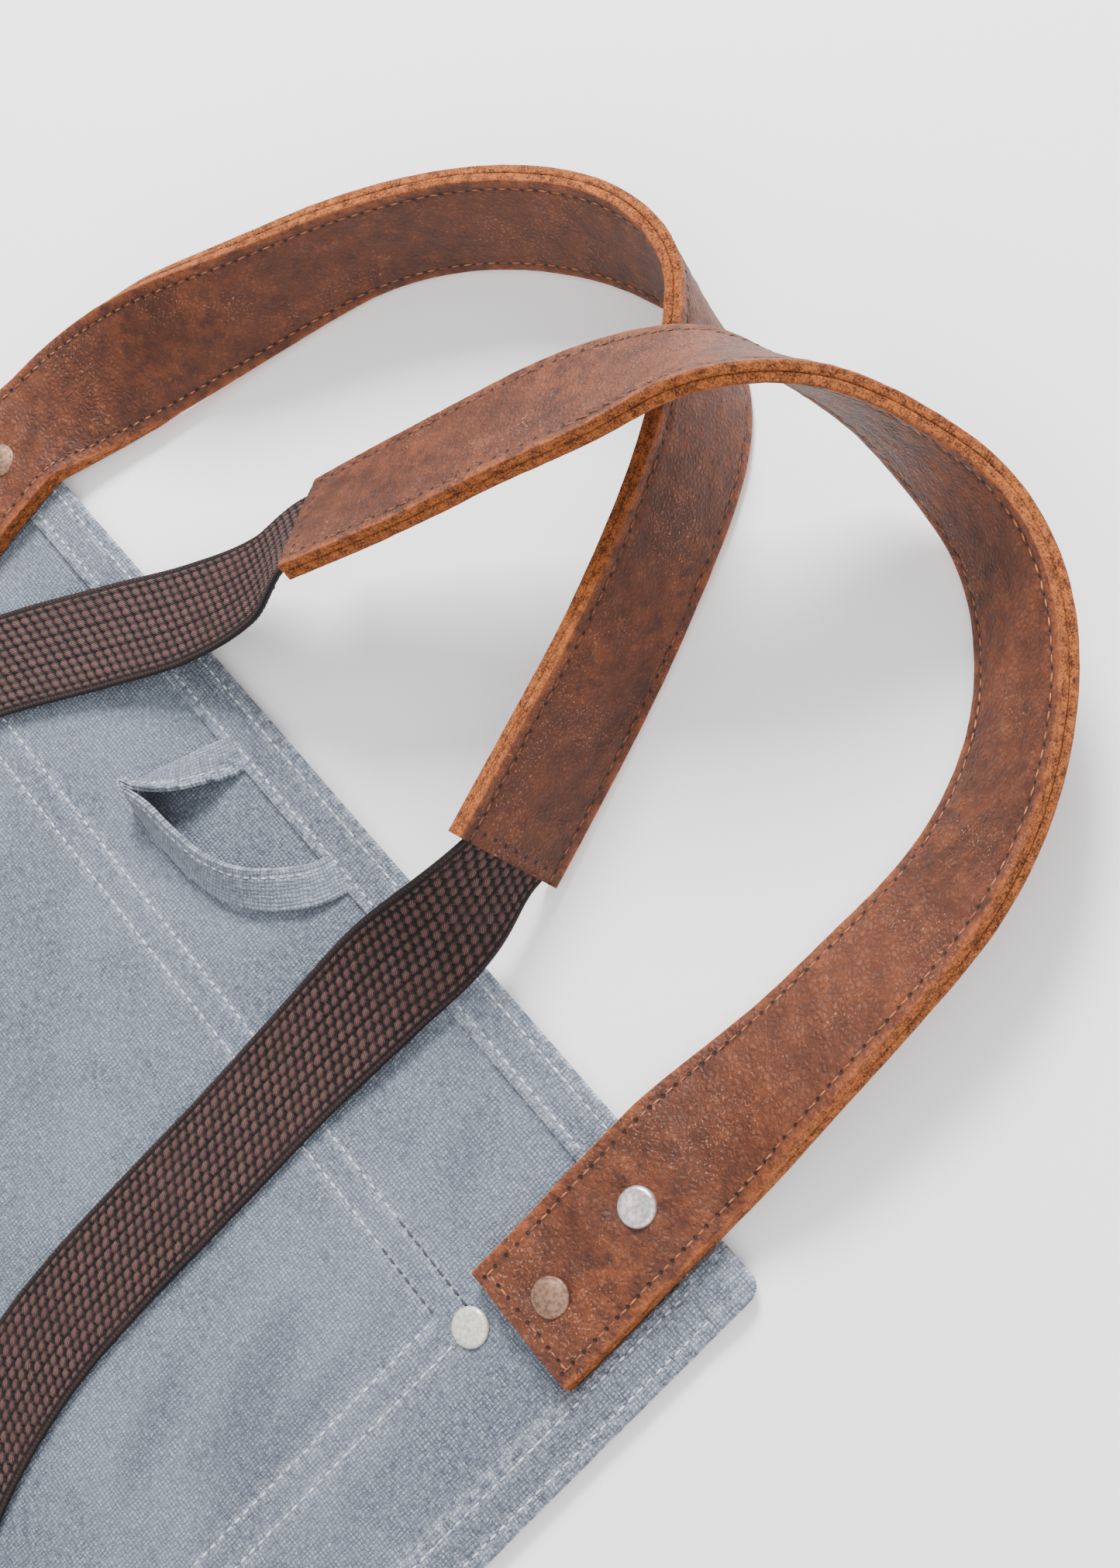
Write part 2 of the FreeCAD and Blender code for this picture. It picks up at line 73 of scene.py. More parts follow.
class Value:
    """A socket of a shader tree, with Python's operators as Math nodes."""

    def __init__(self, paint: "Paint", socket: bpy.types.NodeSocket) -> None:
        """Wraps one output socket."""
        self.paint = paint
        self.socket = socket

    def _math(self, operation: str, *terms: object) -> "Value":
        """Adds one Math node on the terms."""
        return self.paint.node("ShaderNodeMath", {"operation": operation}, dict(enumerate(terms)))

    def __add__(self, other: object) -> "Value":
        """Sum."""
        return self._math("ADD", self, other)

    __radd__ = __add__

    def __mul__(self, other: object) -> "Value":
        """Product."""
        return self._math("MULTIPLY", self, other)

    __rmul__ = __mul__

    def __sub__(self, other: object) -> "Value":
        """Difference."""
        return self._math("SUBTRACT", self, other)

    def __rsub__(self, other: object) -> "Value":
        """Difference from a number."""
        return self._math("SUBTRACT", other, self)

    def __truediv__(self, other: object) -> "Value":
        """Quotient."""
        return self._math("DIVIDE", self, other)

    def __pow__(self, other: object) -> "Value":
        """Power."""
        return self._math("POWER", self, other)

    def __mod__(self, other: object) -> "Value":
        """Remainder, never negative."""
        return self._math("FLOORED_MODULO", self, other)

    def __abs__(self) -> "Value":
        """Size without sign."""
        return self._math("ABSOLUTE", self)

    def sine(self) -> "Value":
        """Sine of an angle in radians."""
        return self._math("SINE", self)

    def most(self, other: object) -> "Value":
        """The larger of two."""
        return self._math("MAXIMUM", self, other)

    def between(self, low: float, high: float) -> "Value":
        """Runs smoothly from 0 at low to 1 at high."""
        sockets = {"Value": self, "From Min": low, "From Max": high}
        return self.paint.node("ShaderNodeMapRange", {"interpolation_type": "SMOOTHSTEP"}, sockets)


Colour = tuple[float, float, float, float]


def rgb(red: int, green: int, blue: int) -> Colour:
    """A display colour of 0 to 255 as linear light."""
    parts = (red, green, blue)
    light = (((part / 255 + 0.055) / 1.055) ** 2.4 if part > 10 else part / 3295 for part in parts)
    return (*light, 1.0)


class Paint:
    """A material with one Principled shader, and the methods that add its nodes."""

    def __init__(self, name: str) -> None:
        """Makes an empty material."""
        self.material = bpy.data.materials.new(name)
        self.material.use_nodes = True
        self.tree = self.material.node_tree
        self.shader = self.tree.nodes["Principled BSDF"]

    def join(self, socket: bpy.types.NodeSocket, item: object) -> None:
        """Links a value to an input socket, or sets a number or colour on it."""
        if isinstance(item, Value):
            self.tree.links.new(item.socket, socket)
        else:
            socket.default_value = item

    def node(
        self, kind: str, settings: dict | None = None, sockets: dict | None = None, out: int = 0
    ) -> Value:
        """Adds any node.

        Args:
            kind: The node's type.
            settings: The node's own settings, which are set first.
            sockets: Values, numbers or colours by the input's name or number.
            out: The number of the output that is wanted.

        Returns:
            That output.
        """
        node = self.tree.nodes.new(kind)
        for key, setting in (settings or {}).items():
            setattr(node, key, setting)
        for key, item in (sockets or {}).items():
            self.join(node.inputs[key], item)
        return Value(self, node.outputs[out])

    def mix(self, share: object, first: object, second: object, blend: str = "MIX") -> Value:
        """Mixes two colours."""
        settings = {"data_type": "RGBA", "blend_type": blend}
        return self.node("ShaderNodeMix", settings, {0: share, 6: first, 7: second}, 2)

    def stretch(self, vector: Value, scale: tuple[float, float, float]) -> Value:
        """Scales a vector by its parts."""
        return self.node("ShaderNodeVectorMath", {"operation": "MULTIPLY"}, {0: vector, 1: scale})

    def noise(self, vector: Value, scale: float, detail: float = 2.0, rough: float = 0.55) -> Value:
        """Soft noise from 0 to 1, with a given number of features to the metre."""
        sockets = {"Vector": vector, "Scale": scale, "Detail": detail, "Roughness": rough}
        return self.node("ShaderNodeTexNoise", None, sockets)

    def cells(self, vector: Value, scale: float, feature: str = "F1") -> Value:
        """Distance within a pattern of uneven cells."""
        return self.node("ShaderNodeTexVoronoi", {"feature": feature}, {"Vector": vector, "Scale": scale})

    def attribute(self, name: str) -> Value:
        """A number stored on the mesh's points."""
        return self.node("ShaderNodeAttribute", {"attribute_name": name}, out=2)

    def place(self) -> Value:
        """The object's own coordinates in metres."""
        return self.node("ShaderNodeTexCoord", out=3)

    def flat(self) -> tuple[Value, Value, Value]:
        """The surface's flat coordinates in metres: the vector, and its two parts."""
        vector = self.node("ShaderNodeUVMap", {"uv_map": UV_NAME})
        split = [self.node("ShaderNodeSeparateXYZ", None, {0: vector}, out) for out in (0, 1)]
        return vector, split[0], split[1]

    def finish(
        self, colour: object, roughness: object, height: Value | None = None, depth: float = 0.0001
    ) -> None:
        """Feeds the shader.

        Args:
            colour: Base colour.
            roughness: Roughness, a value or a number.
            height: Relief from 0 to 1.
            depth: The relief's real depth in metres.
        """
        self.join(self.shader.inputs["Base Color"], colour)
        self.join(self.shader.inputs["Roughness"], roughness)
        if height is not None:
            bump = self.node("ShaderNodeBump", None, {"Strength": 1.0, "Distance": depth, "Height": height})
            self.join(self.shader.inputs["Normal"], bump)

    def fixed(self, **numbers: float) -> None:
        """Sets constants on the shader's own sockets."""
        for name, number in numbers.items():
            self.shader.inputs[name.replace("_", " ").title().replace("Ior", "IOR")].default_value = number


# ---------------------------------------------------------------- finishes


@dataclass(frozen=True)
class CanvasFinish:
    """Waxed cotton canvas: plain weave, waxy mottling, pale scuffs where the cloth is worn, painted shade in
    the weave's gaps and along the creases, and painted highlights on the threads' crowns.
    """

    name: str = "waxed_canvas"
    pitch: float = 0.0011
    dark: Colour = rgb(74, 83, 97)
    middle: Colour = rgb(109, 119, 134)
    light: Colour = rgb(158, 168, 182)
    # Pale colour of worn scuffs, also used for the painted highlight on the threads' crowns.
    scuff_and_highlight: Colour = rgb(196, 204, 216)

    def material(self) -> bpy.types.Material:
        """Builds the material."""
        paint = Paint(self.name)
        vector, across, along = paint.flat()
        wobble = paint.noise(vector, 420, 2) * 0.0016
        warp = abs(((across + wobble) * (math.pi / self.pitch)).sine())
        weft = abs(((along - wobble) * (math.pi / self.pitch)).sine())
        weave = (warp * weft) ** 0.7
        slub = paint.noise(paint.stretch(vector, (0.16, 1.0, 1.0)), 2600, 1)
        picks = paint.noise(paint.stretch(vector, (1.0, 0.16, 1.0)), 2600, 1)
        yarn = slub * 0.5 + picks * 0.5
        cloud = paint.noise(vector, 13, 4, 0.6)
        patch = paint.noise(vector, 75, 3, 0.6)
        tone = (cloud * 0.68 + patch * 0.32).between(0.38, 0.62)
        colour = paint.mix(tone, self.dark, self.middle)
        colour = paint.mix(yarn.between(0.42, 0.72) * 0.75, colour, self.light)
        # Painted shade: the canvas is darkened along its raised creases, where the fold mark is high.
        folded = paint.attribute("fold") * (0.3 + cloud)
        colour = paint.mix(folded * 0.6, colour, rgb(66, 75, 89))
        worn = paint.attribute("wear") * paint.noise(vector, 420, 3, 0.7).between(0.36, 0.66)
        colour = paint.mix(worn * 0.8, colour, self.scuff_and_highlight)
        # Painted shade: the gaps between the threads are darkened in colour.
        gaps = 1 - weave.between(0.0, 0.8)
        colour = paint.mix(gaps * (0.2 + patch * 0.5), colour, rgb(44, 50, 60))
        # Painted highlight: the crowns of the weave are lightened.
        colour = paint.mix(weave.between(0.75, 1.0) * yarn.between(0.45, 0.7) * 0.6, colour, self.scuff_and_highlight)
        flecks = paint.noise(vector, 1500, 1).between(0.66, 0.78)
        colour = paint.mix(flecks * 0.5, colour, rgb(205, 211, 221))
        rough = 0.74 - worn * 0.1 + patch * 0.1
        height = weave * 0.6 + yarn * 0.25 + paint.noise(vector, 320, 2) * 0.5
        paint.finish(colour, rough, height, 0.00045)
        paint.fixed(sheen_weight=0.12, specular_ior_level=0.35)
        return paint.material


@dataclass(frozen=True)
class LeatherFinish:
    """Oiled pull-up leather with a fuzzy raw edge.

    row is the stitch row's distance from the band's middle line, pitch the stitches' spacing, in metres.
    """

    name: str
    dark: Colour
    middle: Colour
    light: Colour
    grain: float = 760.0
    crease: float = 0.5
    gloss: float = 0.44
    row: float = 0.0155
    pitch: float = 0.004
    margin: float = 0.0035
    raw: Colour = rgb(186, 106, 52)
    raw_dark: Colour = rgb(66, 30, 14)
    # Strength of the stitch holes: their painted shade and their dip in the bump.
    holes: float = 1.0

    def material(self) -> bpy.types.Material:
        """Builds the material."""
        paint = Paint(self.name)
        place = paint.place()
        _, run, across = paint.flat()
        bend = paint.node("ShaderNodeTexNoise", None, {"Vector": place, "Scale": 300.0, "Detail": 2.0}, 1)
        shift = paint.node("ShaderNodeVectorMath", {"operation": "SCALE"}, {0: bend, "Scale": 0.0016})
        swirl = paint.node("ShaderNodeVectorMath", {"operation": "ADD"}, {0: place, 1: shift})
        pebble = paint.cells(swirl, self.grain, "DISTANCE_TO_EDGE").between(0.0, 0.45)
        fine = paint.noise(place, 1700, 2)
        pores = 1 - paint.cells(place, 1150).between(0.08, 0.3)
        cloud = paint.noise(place, 26, 4, 0.62)
        patch = paint.noise(place, 150, 3, 0.6)
        tone = (cloud * 0.6 + patch * 0.4).between(0.36, 0.66)
        colour = paint.mix(tone, self.dark, self.middle)
        ridge = (patch * 0.5 + fine * 0.5).between(0.5, 0.68)
        colour = paint.mix(ridge * 0.5, colour, self.light)
        colour = paint.mix((1 - pebble) * self.crease, colour, self.dark)
        pitted = paint.noise(place, 60, 2).between(0.42, 0.6)
        colour = paint.mix(pores * (0.25 + pitted * 0.5), colour, rgb(48, 22, 12))
        # Painted glints: scattered whitish specks of highlight on the grain.
        painted_glint = paint.noise(place, 1700, 1).between(0.62, 0.74) * paint.noise(place, 45, 1).between(0.5, 0.64)
        colour = paint.mix(painted_glint * 0.45, colour, rgb(206, 152, 122))
        worn = paint.attribute("wear") * paint.noise(place, 210, 3, 0.7).between(0.35, 0.65)
        colour = paint.mix(worn * 0.75, colour, rgb(176, 92, 42))
        step = ((run % self.pitch) - self.pitch / 2) / 0.00062
        side = (abs(across) - self.row) / 0.00058
        hole = 1 - (step * step + side * side).between(0.35, 1.2)
        step = ((across + self.row + self.pitch * 6.5) % self.pitch - self.pitch / 2) / 0.00062
        end = (paint.attribute("end") - self.margin) / 0.00058
        inner = 1 - abs(across).between(self.row - 0.001, self.row + 0.001)
        crossing = (1 - (step * step + end * end).between(0.35, 1.2)) * inner
        hole = hole.most(crossing) * paint.attribute("outer")
        # Painted shade: the stitch groove and the stitch holes are darkened in colour.
        groove = (1 - abs(side * 0.5).between(0.4, 1.3)) * paint.attribute("outer")
        colour = paint.mix(groove * 0.35, colour, rgb(74, 36, 20))
        colour = paint.mix(hole * self.holes, colour, rgb(30, 14, 8))
        fuzz = paint.noise(place, 1900, 3, 0.75)
        streak = paint.noise(paint.stretch(place, (1.0, 1.0, 1.8)), 330, 3, 0.7)
        suede = paint.mix((fuzz * 0.6 + streak * 0.4).between(0.37, 0.64), self.raw_dark, self.raw)
        raw = paint.attribute("raw")
        colour = paint.mix(raw, colour, suede)
        rough = (self.gloss + patch * 0.22 - ridge * 0.08) * (1 - raw) + raw * 0.92
        skin = pebble * 0.36 + fine * 0.2 - pores * 0.18 + patch * 0.7 - hole * self.holes * 0.5
        height = skin * (1 - raw) + (fuzz * 0.9 + streak * 0.5) * raw
        paint.finish(colour, rough, height, 0.0006)
        paint.fixed(specular_ior_level=0.35)
        return paint.material


@dataclass(frozen=True)
class ElasticFinish:
    """Woven elastic: matt round knots of brown yarn, with painted shade in the gaps between them and a
    painted highlight on their tops.
    """

    name: str = "woven_elastic"
    gap_shade: Colour = rgb(14, 8, 8)
    yarn: Colour = rgb(58, 37, 34)
    # Colour of the painted highlight on the knots' tops.
    top: Colour = rgb(118, 83, 77)
    strand: float = 0.00062

    def material(self) -> bpy.types.Material:
        """Builds the material."""
        paint = Paint(self.name)
        vector, run, across = paint.flat()
        knot = paint.attribute("knot")
        twist = (run * 0.62 + across) * (math.tau / self.strand)
        lay = (twist + paint.noise(vector, 900, 1) * 5).sine() * 0.5 + 0.5
        shade = knot.between(0.25, 0.85)
        # Painted shade: the low parts between the knots run to the near-black gap colour.
        colour = paint.mix(shade, self.gap_shade, self.yarn)
        # Painted highlight on the crowns of the knots and cords.
        colour = paint.mix((knot.between(0.5, 1.0) * lay) * 0.85, colour, self.top)
        colour = paint.mix(paint.noise(vector, 60, 3).between(0.4, 0.75) * 0.25, colour, rgb(58, 38, 36))
        height = lay * 0.6 + paint.noise(vector, 1800, 1) * 0.5
        paint.finish(colour, 0.66 - lay * 0.12, height, 0.00016)
        paint.fixed(specular_ior_level=0.3)
        return paint.material


@dataclass(frozen=True)
class ThreadFinish:
    """Twisted sewing thread."""

    name: str
    light: Colour
    dark: Colour

    def material(self) -> bpy.types.Material:
        """Builds the material."""
        paint = Paint(self.name)
        place = paint.place()
        blotch = paint.noise(place, 240, 3, 0.65)
        fibre = paint.noise(place, 4200, 1)
        colour = paint.mix((blotch * 0.6 + fibre * 0.4).between(0.36, 0.66), self.dark, self.light)
        paint.finish(colour, 0.62 + fibre * 0.2, fibre, 0.00012)
        return paint.material


@dataclass(frozen=True)
class MetalFinish:
    """Plated rivet metal with dull patches and fine scratches."""

    name: str
    bright: Colour
    dull: Colour
    metallic: float = 0.9
    polish: float = 0.3

    def material(self) -> bpy.types.Material:
        """Builds the material."""
        paint = Paint(self.name)
        place = paint.place()
        blotch = paint.noise(place, 900, 3, 0.6)
        grit = paint.noise(place, 2600, 2)
        scratch = paint.noise(paint.stretch(place, (1.0, 0.12, 1.0)), 3800, 1).between(0.62, 0.75)
        colour = paint.mix(blotch.between(0.38, 0.66), self.bright, self.dull)
        colour = paint.mix(scratch * 0.4, colour, self.bright)
        rough = self.polish + blotch * 0.25 + scratch * 0.12
        paint.finish(colour, rough, blotch * 0.5 + grit * 0.3 - scratch * 0.2, 0.00012)
        paint.fixed(metallic=self.metallic)
        return paint.material


@dataclass(frozen=True)
class TableFinish:
    """The pale matt surface that the apron lies on."""

    name: str = "pale_table"

    def material(self) -> bpy.types.Material:
        """Builds the material."""
        paint = Paint(self.name)
        cloud = paint.noise(paint.place(), 3, 2)
        paint.finish(paint.mix(cloud, rgb(251, 251, 251), rgb(254, 254, 254)), 0.9)
        paint.fixed(emission_strength=0.2)
        return paint.material


class Shade(Enum):
    """The finishes that more than one piece takes."""

    CANVAS = CanvasFinish()
    FACE = LeatherFinish(
        "leather_face", rgb(62, 30, 18), rgb(98, 52, 32), rgb(144, 86, 58), 620.0, 0.55, 0.5
    )
    LINING = LeatherFinish(
        "leather_lining", rgb(62, 29, 16), rgb(106, 56, 33), rgb(150, 87, 55), 540.0, 0.55, 0.48
    )
    ELASTIC = ElasticFinish()
    PALE_THREAD = ThreadFinish("pale_thread", rgb(226, 231, 238), rgb(158, 168, 182))
    DARK_THREAD = ThreadFinish("dark_thread", rgb(74, 80, 92), rgb(40, 44, 54))
    TAN_THREAD = ThreadFinish("tan_thread", rgb(186, 124, 84), rgb(112, 62, 36))
    BROWN_THREAD = ThreadFinish("brown_thread", rgb(150, 96, 66), rgb(74, 40, 26))
    NICKEL = MetalFinish("bright_nickel", rgb(238, 230, 230), rgb(190, 178, 178), 0.85, 0.22)
    CREAM = MetalFinish("cream_nickel", rgb(232, 227, 212), rgb(196, 190, 174), 0.4, 0.28)
    COPPER = MetalFinish("worn_copper", rgb(156, 122, 102), rgb(120, 88, 72), 0.7, 0.42)

    def material(self) -> bpy.types.Material:
        """The finish's material, made the first time it is asked for."""
        found = bpy.data.materials.get(self.value.name)
        return found or self.value.material()


# ---------------------------------------------------------------- geometry tools


@dataclass(frozen=True)
class Drawing:
    """Turns places on the flat drawing, in millimetres, into the frame's metres."""

    bib_top: float

    @classmethod
    def from_frame(cls) -> "Drawing":
        """Reads the bib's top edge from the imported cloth."""
        return cls(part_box("canvas_bib_and_waist")[1][1])

    def points(self, x: np.ndarray, y: np.ndarray, z: np.ndarray) -> np.ndarray:
        """Arrays of millimetres as an array of points in metres."""
        return np.stack([x * MM, y * MM + self.bib_top, z * MM], axis=-1)


def new_object(bm: bmesh.types.BMesh, name: str, shade: Shade, smooth: bool = True) -> bpy.types.Object:
    """Turns a finished bmesh into an object with its material."""
    mesh = bpy.data.meshes.new(name)
    bm.to_mesh(mesh)
    bm.free()
    mesh.materials.append(shade.material())
    for face in mesh.polygons:
        face.use_smooth = smooth
    thing = bpy.data.objects.new(name, mesh)
    bpy.context.scene.collection.objects.link(thing)
    return thing


def ripple(points: np.ndarray, scale: float, seed: float = 0.0) -> np.ndarray:
    """Smooth noise from -1 to 1 at each point, with that many features to the metre."""
    shift = Vector((seed, seed * 0.7, -seed))
    flat = points.reshape(-1, 3)
    values = [noise.noise(Vector(point) * scale + shift) for point in flat]
    return np.array(values).reshape(points.shape[:-1])


def lattice(
    points: np.ndarray, marks: dict[str, np.ndarray], flat: np.ndarray, closed: bool
) -> bmesh.types.BMesh:
    """A surface through a rectangular array of points.

    Args:
        points: Places in metres, shaped (rows, columns, 3).
        marks: Numbers to store on the points, by name, each shaped (rows, columns).
        flat: The surface's flat coordinates in metres, shaped (rows, columns, 2).
        closed: Whether the last row runs on into the first, as round a band. The two ends are then capped.

    Returns:
        The surface, with its normals outwards where it is closed.
    """
    rows, columns = points.shape[:2]
    bm = bmesh.new()
    bmesh.ops.create_grid(bm, x_segments=columns - 1, y_segments=rows - 1 + closed, size=1.0)
    layers = {name: bm.verts.layers.float.new(name) for name in marks}
    sheet = bm.loops.layers.uv.new(UV_NAME)
    for number, vert in enumerate(bm.verts):
        row, column = divmod(number, columns)
        row %= rows
        vert.co = points[row, column]
        for name, layer in layers.items():
            vert[layer] = marks[name][row, column]
    for face in bm.faces:
        for loop in face.loops:
            row, column = divmod(loop.vert.index, columns)
            loop[sheet].uv = flat[row % rows, column]
    if closed:
        seam = [vert for number, vert in enumerate(bm.verts) if number // columns in (0, rows)]
        bmesh.ops.remove_doubles(bm, verts=seam, dist=1e-7)
        rim = [edge for edge in bm.edges if edge.is_boundary]
        caps = bmesh.ops.holes_fill(bm, edges=rim, sides=0)["faces"]
        if "raw" in layers:
            split = bmesh.ops.extrude_face_region(bm, geom=caps)["geom"]
            for vert in (item for item in split if isinstance(item, bmesh.types.BMVert)):
                vert[layers["raw"]] = 1.0
            bmesh.ops.delete(bm, geom=caps, context="FACES_ONLY")
        bmesh.ops.recalc_face_normals(bm, faces=bm.faces)
    return bm


@dataclass(frozen=True)
class Frames:
    """Stations along a band: centre and directions in metres, and the distance run."""

    centre: np.ndarray
    along: np.ndarray
    across: np.ndarray
    through: np.ndarray
    run: np.ndarray

    @property
    def length(self) -> float:
        """The band's length in metres."""
        return float(self.run[-1])

    def at(self, run: float) -> tuple[np.ndarray, np.ndarray, np.ndarray, np.ndarray]:
        """Centre, along, across and through at a distance along the band."""
        parts = []
        for array in (self.centre, self.along, self.across, self.through):
            parts.append(np.array([np.interp(run, self.run, array[:, axis]) for axis in range(3)]))
        return tuple(parts)


@dataclass(frozen=True)
class Route:
    """A flat band's way over the table.

    Each station is x, y, lift, lean: the middle line's place, the height of the band's lowest edge, and its
    turn in degrees about its own line. At lean 0 and 180 the band lies flat, and at 90 it stands on edge.
    """

    stations: tuple[tuple[float, float, float, float], ...]
    width: float
    thick: float
    soften: int = 0

    def frames(self, drawing: Drawing, step: float) -> Frames:
        """Places the band's middle line at even steps.

        Args:
            drawing: Where the flat drawing lies.
            step: Spacing in millimetres.

        Returns:
            The stations along the band.
        """
        table = np.array(self.stations, float)
        gaps = np.hypot(*np.diff(table[:, :2], axis=0).T)
        knots = np.concatenate([[0.0], np.cumsum(gaps)])
        rates = np.diff(table, axis=0) / gaps[:, None]
        slopes = np.empty_like(table)
        slopes[0], slopes[-1] = rates[0], rates[-1]
        blend = (rates[:-1] * gaps[1:, None] + rates[1:] * gaps[:-1, None]) / (gaps[:-1] + gaps[1:])[:, None]
        slopes[1:-1] = np.where(rates[:-1] * rates[1:] > 0, blend, 0.0)
        count = max(8, round(knots[-1] / step))
        spots = np.linspace(0.0, knots[-1], count + 1)
        span = np.clip(np.searchsorted(knots, spots, side="right") - 1, 0, len(gaps) - 1)
        share = ((spots - knots[span]) / gaps[span])[:, None]
        rest = 1 - share
        width = gaps[span][:, None]
        way = (
            table[span] * (1 + 2 * share) * rest**2
            + slopes[span] * width * share * rest**2
            + table[span + 1] * share**2 * (3 - 2 * share)
            - slopes[span + 1] * width * share**2 * rest
        )
        free = np.clip(np.minimum(spots - 60, (knots[-1] - spots) * 1.5) / 30, 0, 1)[1:-1, None] / 4
        for _ in range(self.soften):
            way[1:-1] += free * (way[:-2] - 2 * way[1:-1] + way[2:])
        x, y, lift, lean = way.T
        turn = np.radians(lean)
        height = lift + self.width / 2 * np.sin(turn) + self.thick / 2 * np.abs(np.cos(turn))
        centre = drawing.points(x, y, height)
        along = np.gradient(centre, axis=0)
        along /= np.linalg.norm(along, axis=1)[:, None]
        right = np.stack([along[:, 1], -along[:, 0], np.zeros(len(along))], axis=1)
        right /= np.linalg.norm(right, axis=1)[:, None]
        up = np.cross(right, along)
        across = right * np.cos(turn)[:, None] + up * np.sin(turn)[:, None]
        run = np.concatenate([[0.0], np.cumsum(np.linalg.norm(np.diff(centre, axis=0), axis=1))])
        return Frames(centre, along, across, np.cross(across, along), run)


def sewn(
    places: Iterable[tuple[np.ndarray, np.ndarray, np.ndarray]],
    name: str,
    shade: Shade,
    size: tuple[float, float, float],
) -> bpy.types.Object:
    """A row of stitches as one piece.

    Args:
        places: Centre, direction and upward normal of each stitch, in metres.
        name: The piece's name.
        shade: The thread.
        size: Length, width and height of a stitch in millimetres.

    Returns:
        The stitches.
    """
    bead = bmesh.new()
    bmesh.ops.create_uvsphere(bead, u_segments=6, v_segments=5, radius=1.0)
    shape = np.array([(*vert.co, 1.0) for vert in bead.verts])
    seed = bpy.data.meshes.new(name)
    bead.to_mesh(seed)
    bead.free()
    bm = bmesh.new()
    corners = []
    for number, (centre, along, up) in enumerate(places):
        along = Vector(along).normalized()
        side = Vector(up).cross(along).normalized()
        slant = 0.05 * math.sin(number * 2.4)
        along = (along + side * slant).normalized()
        up = along.cross(side).normalized()
        axes = [axis * (part * MM / 2) for axis, part in zip((along, side, up), size)]
        corners.append(shape @ np.array([*axes, centre]))
        bm.from_mesh(seed)
    bpy.data.meshes.remove(seed)
    for vert, corner in zip(bm.verts, np.concatenate(corners)):
        vert.co = corner
    bm.normal_update()
    return new_object(bm, name, shade)


def spaced(path: np.ndarray, pitch: float, margin: float = 0.0) -> tuple[np.ndarray, np.ndarray]:
    """Even places along a flat path.

    Args:
        path: Points in millimetres, shaped (n, 2).
        pitch: Spacing.
        margin: Length left free at both ends.

    Returns:
        The places and the path's directions there.
    """
    run = np.concatenate([[0.0], np.cumsum(np.hypot(*np.diff(path, axis=0).T))])
    spots = np.arange(margin + pitch / 2, run[-1] - margin, pitch)
    places = np.stack([np.interp(spots, run, path[:, axis]) for axis in (0, 1)], axis=1)
    ahead = np.stack([np.interp(spots + 0.5, run, path[:, axis]) for axis in (0, 1)], axis=1)
    behind = np.stack([np.interp(spots - 0.5, run, path[:, axis]) for axis in (0, 1)], axis=1)
    return places, ahead - behind


# ---------------------------------------------------------------- canvas

HEM_STEPS = (0.0, 0.2, 0.6, 1.1, 2.0, 3.1, 3.5, 3.9, 5.5, 8.0, 10.5, 11.6, 12.0, 12.4, 13.6, 14.75, 15.0)
SEAM_ROWS = (3.5, 12.0)
PALE_STITCH = (2.5, 0.72, 0.6)
DARK_STITCH = (2.6, 0.8, 0.55)
LEATHER_STITCH = (2.7, 0.55, 0.5)
LOOP_STITCH = (2.0, 0.5, 0.42)
PALE_PITCH = 3.3
FAR = 1000.0


def dent(distance: np.ndarray, depth: float, width: float) -> np.ndarray:
    """A soft groove of that depth at distance 0."""
    return -depth * np.exp(-((distance / width) ** 2))


def rounding(distance: np.ndarray, radius: float) -> np.ndarray:
    """How far a rounded edge falls short of the full height, at a distance from the edge."""
    return radius * (1 - np.sqrt(1 - np.clip(1 - distance / radius, 0, 1) ** 2))


def cornered(side: np.ndarray, base: np.ndarray, radius: float) -> tuple[np.ndarray, np.ndarray]:
    """How far points near a square corner move in from its two edges to make it round.

    Args:
        side: Distance from one edge.
        base: Distance from the other.
        radius: The corner's radius.

    Returns:
        The moves away from the first and the second edge.
    """
    near = (side < radius) & (base < radius)
    reach = np.maximum(np.hypot(radius - side, radius - base), 1e-6)
    pull = np.where(near, 1 - np.maximum(radius - side, radius - base) / reach, 0.0)
    return (radius - side) * pull, (radius - base) * pull


def undulation(points: np.ndarray) -> np.ndarray:
    """The cloth's slow rise and fall in millimetres, mostly downwards from its flat height."""
    level = points * (1, 1, 0)
    return 0.3 * ripple(level, 15, 3.0) + 0.12 * ripple(level, 62, 8.0) - 0.22


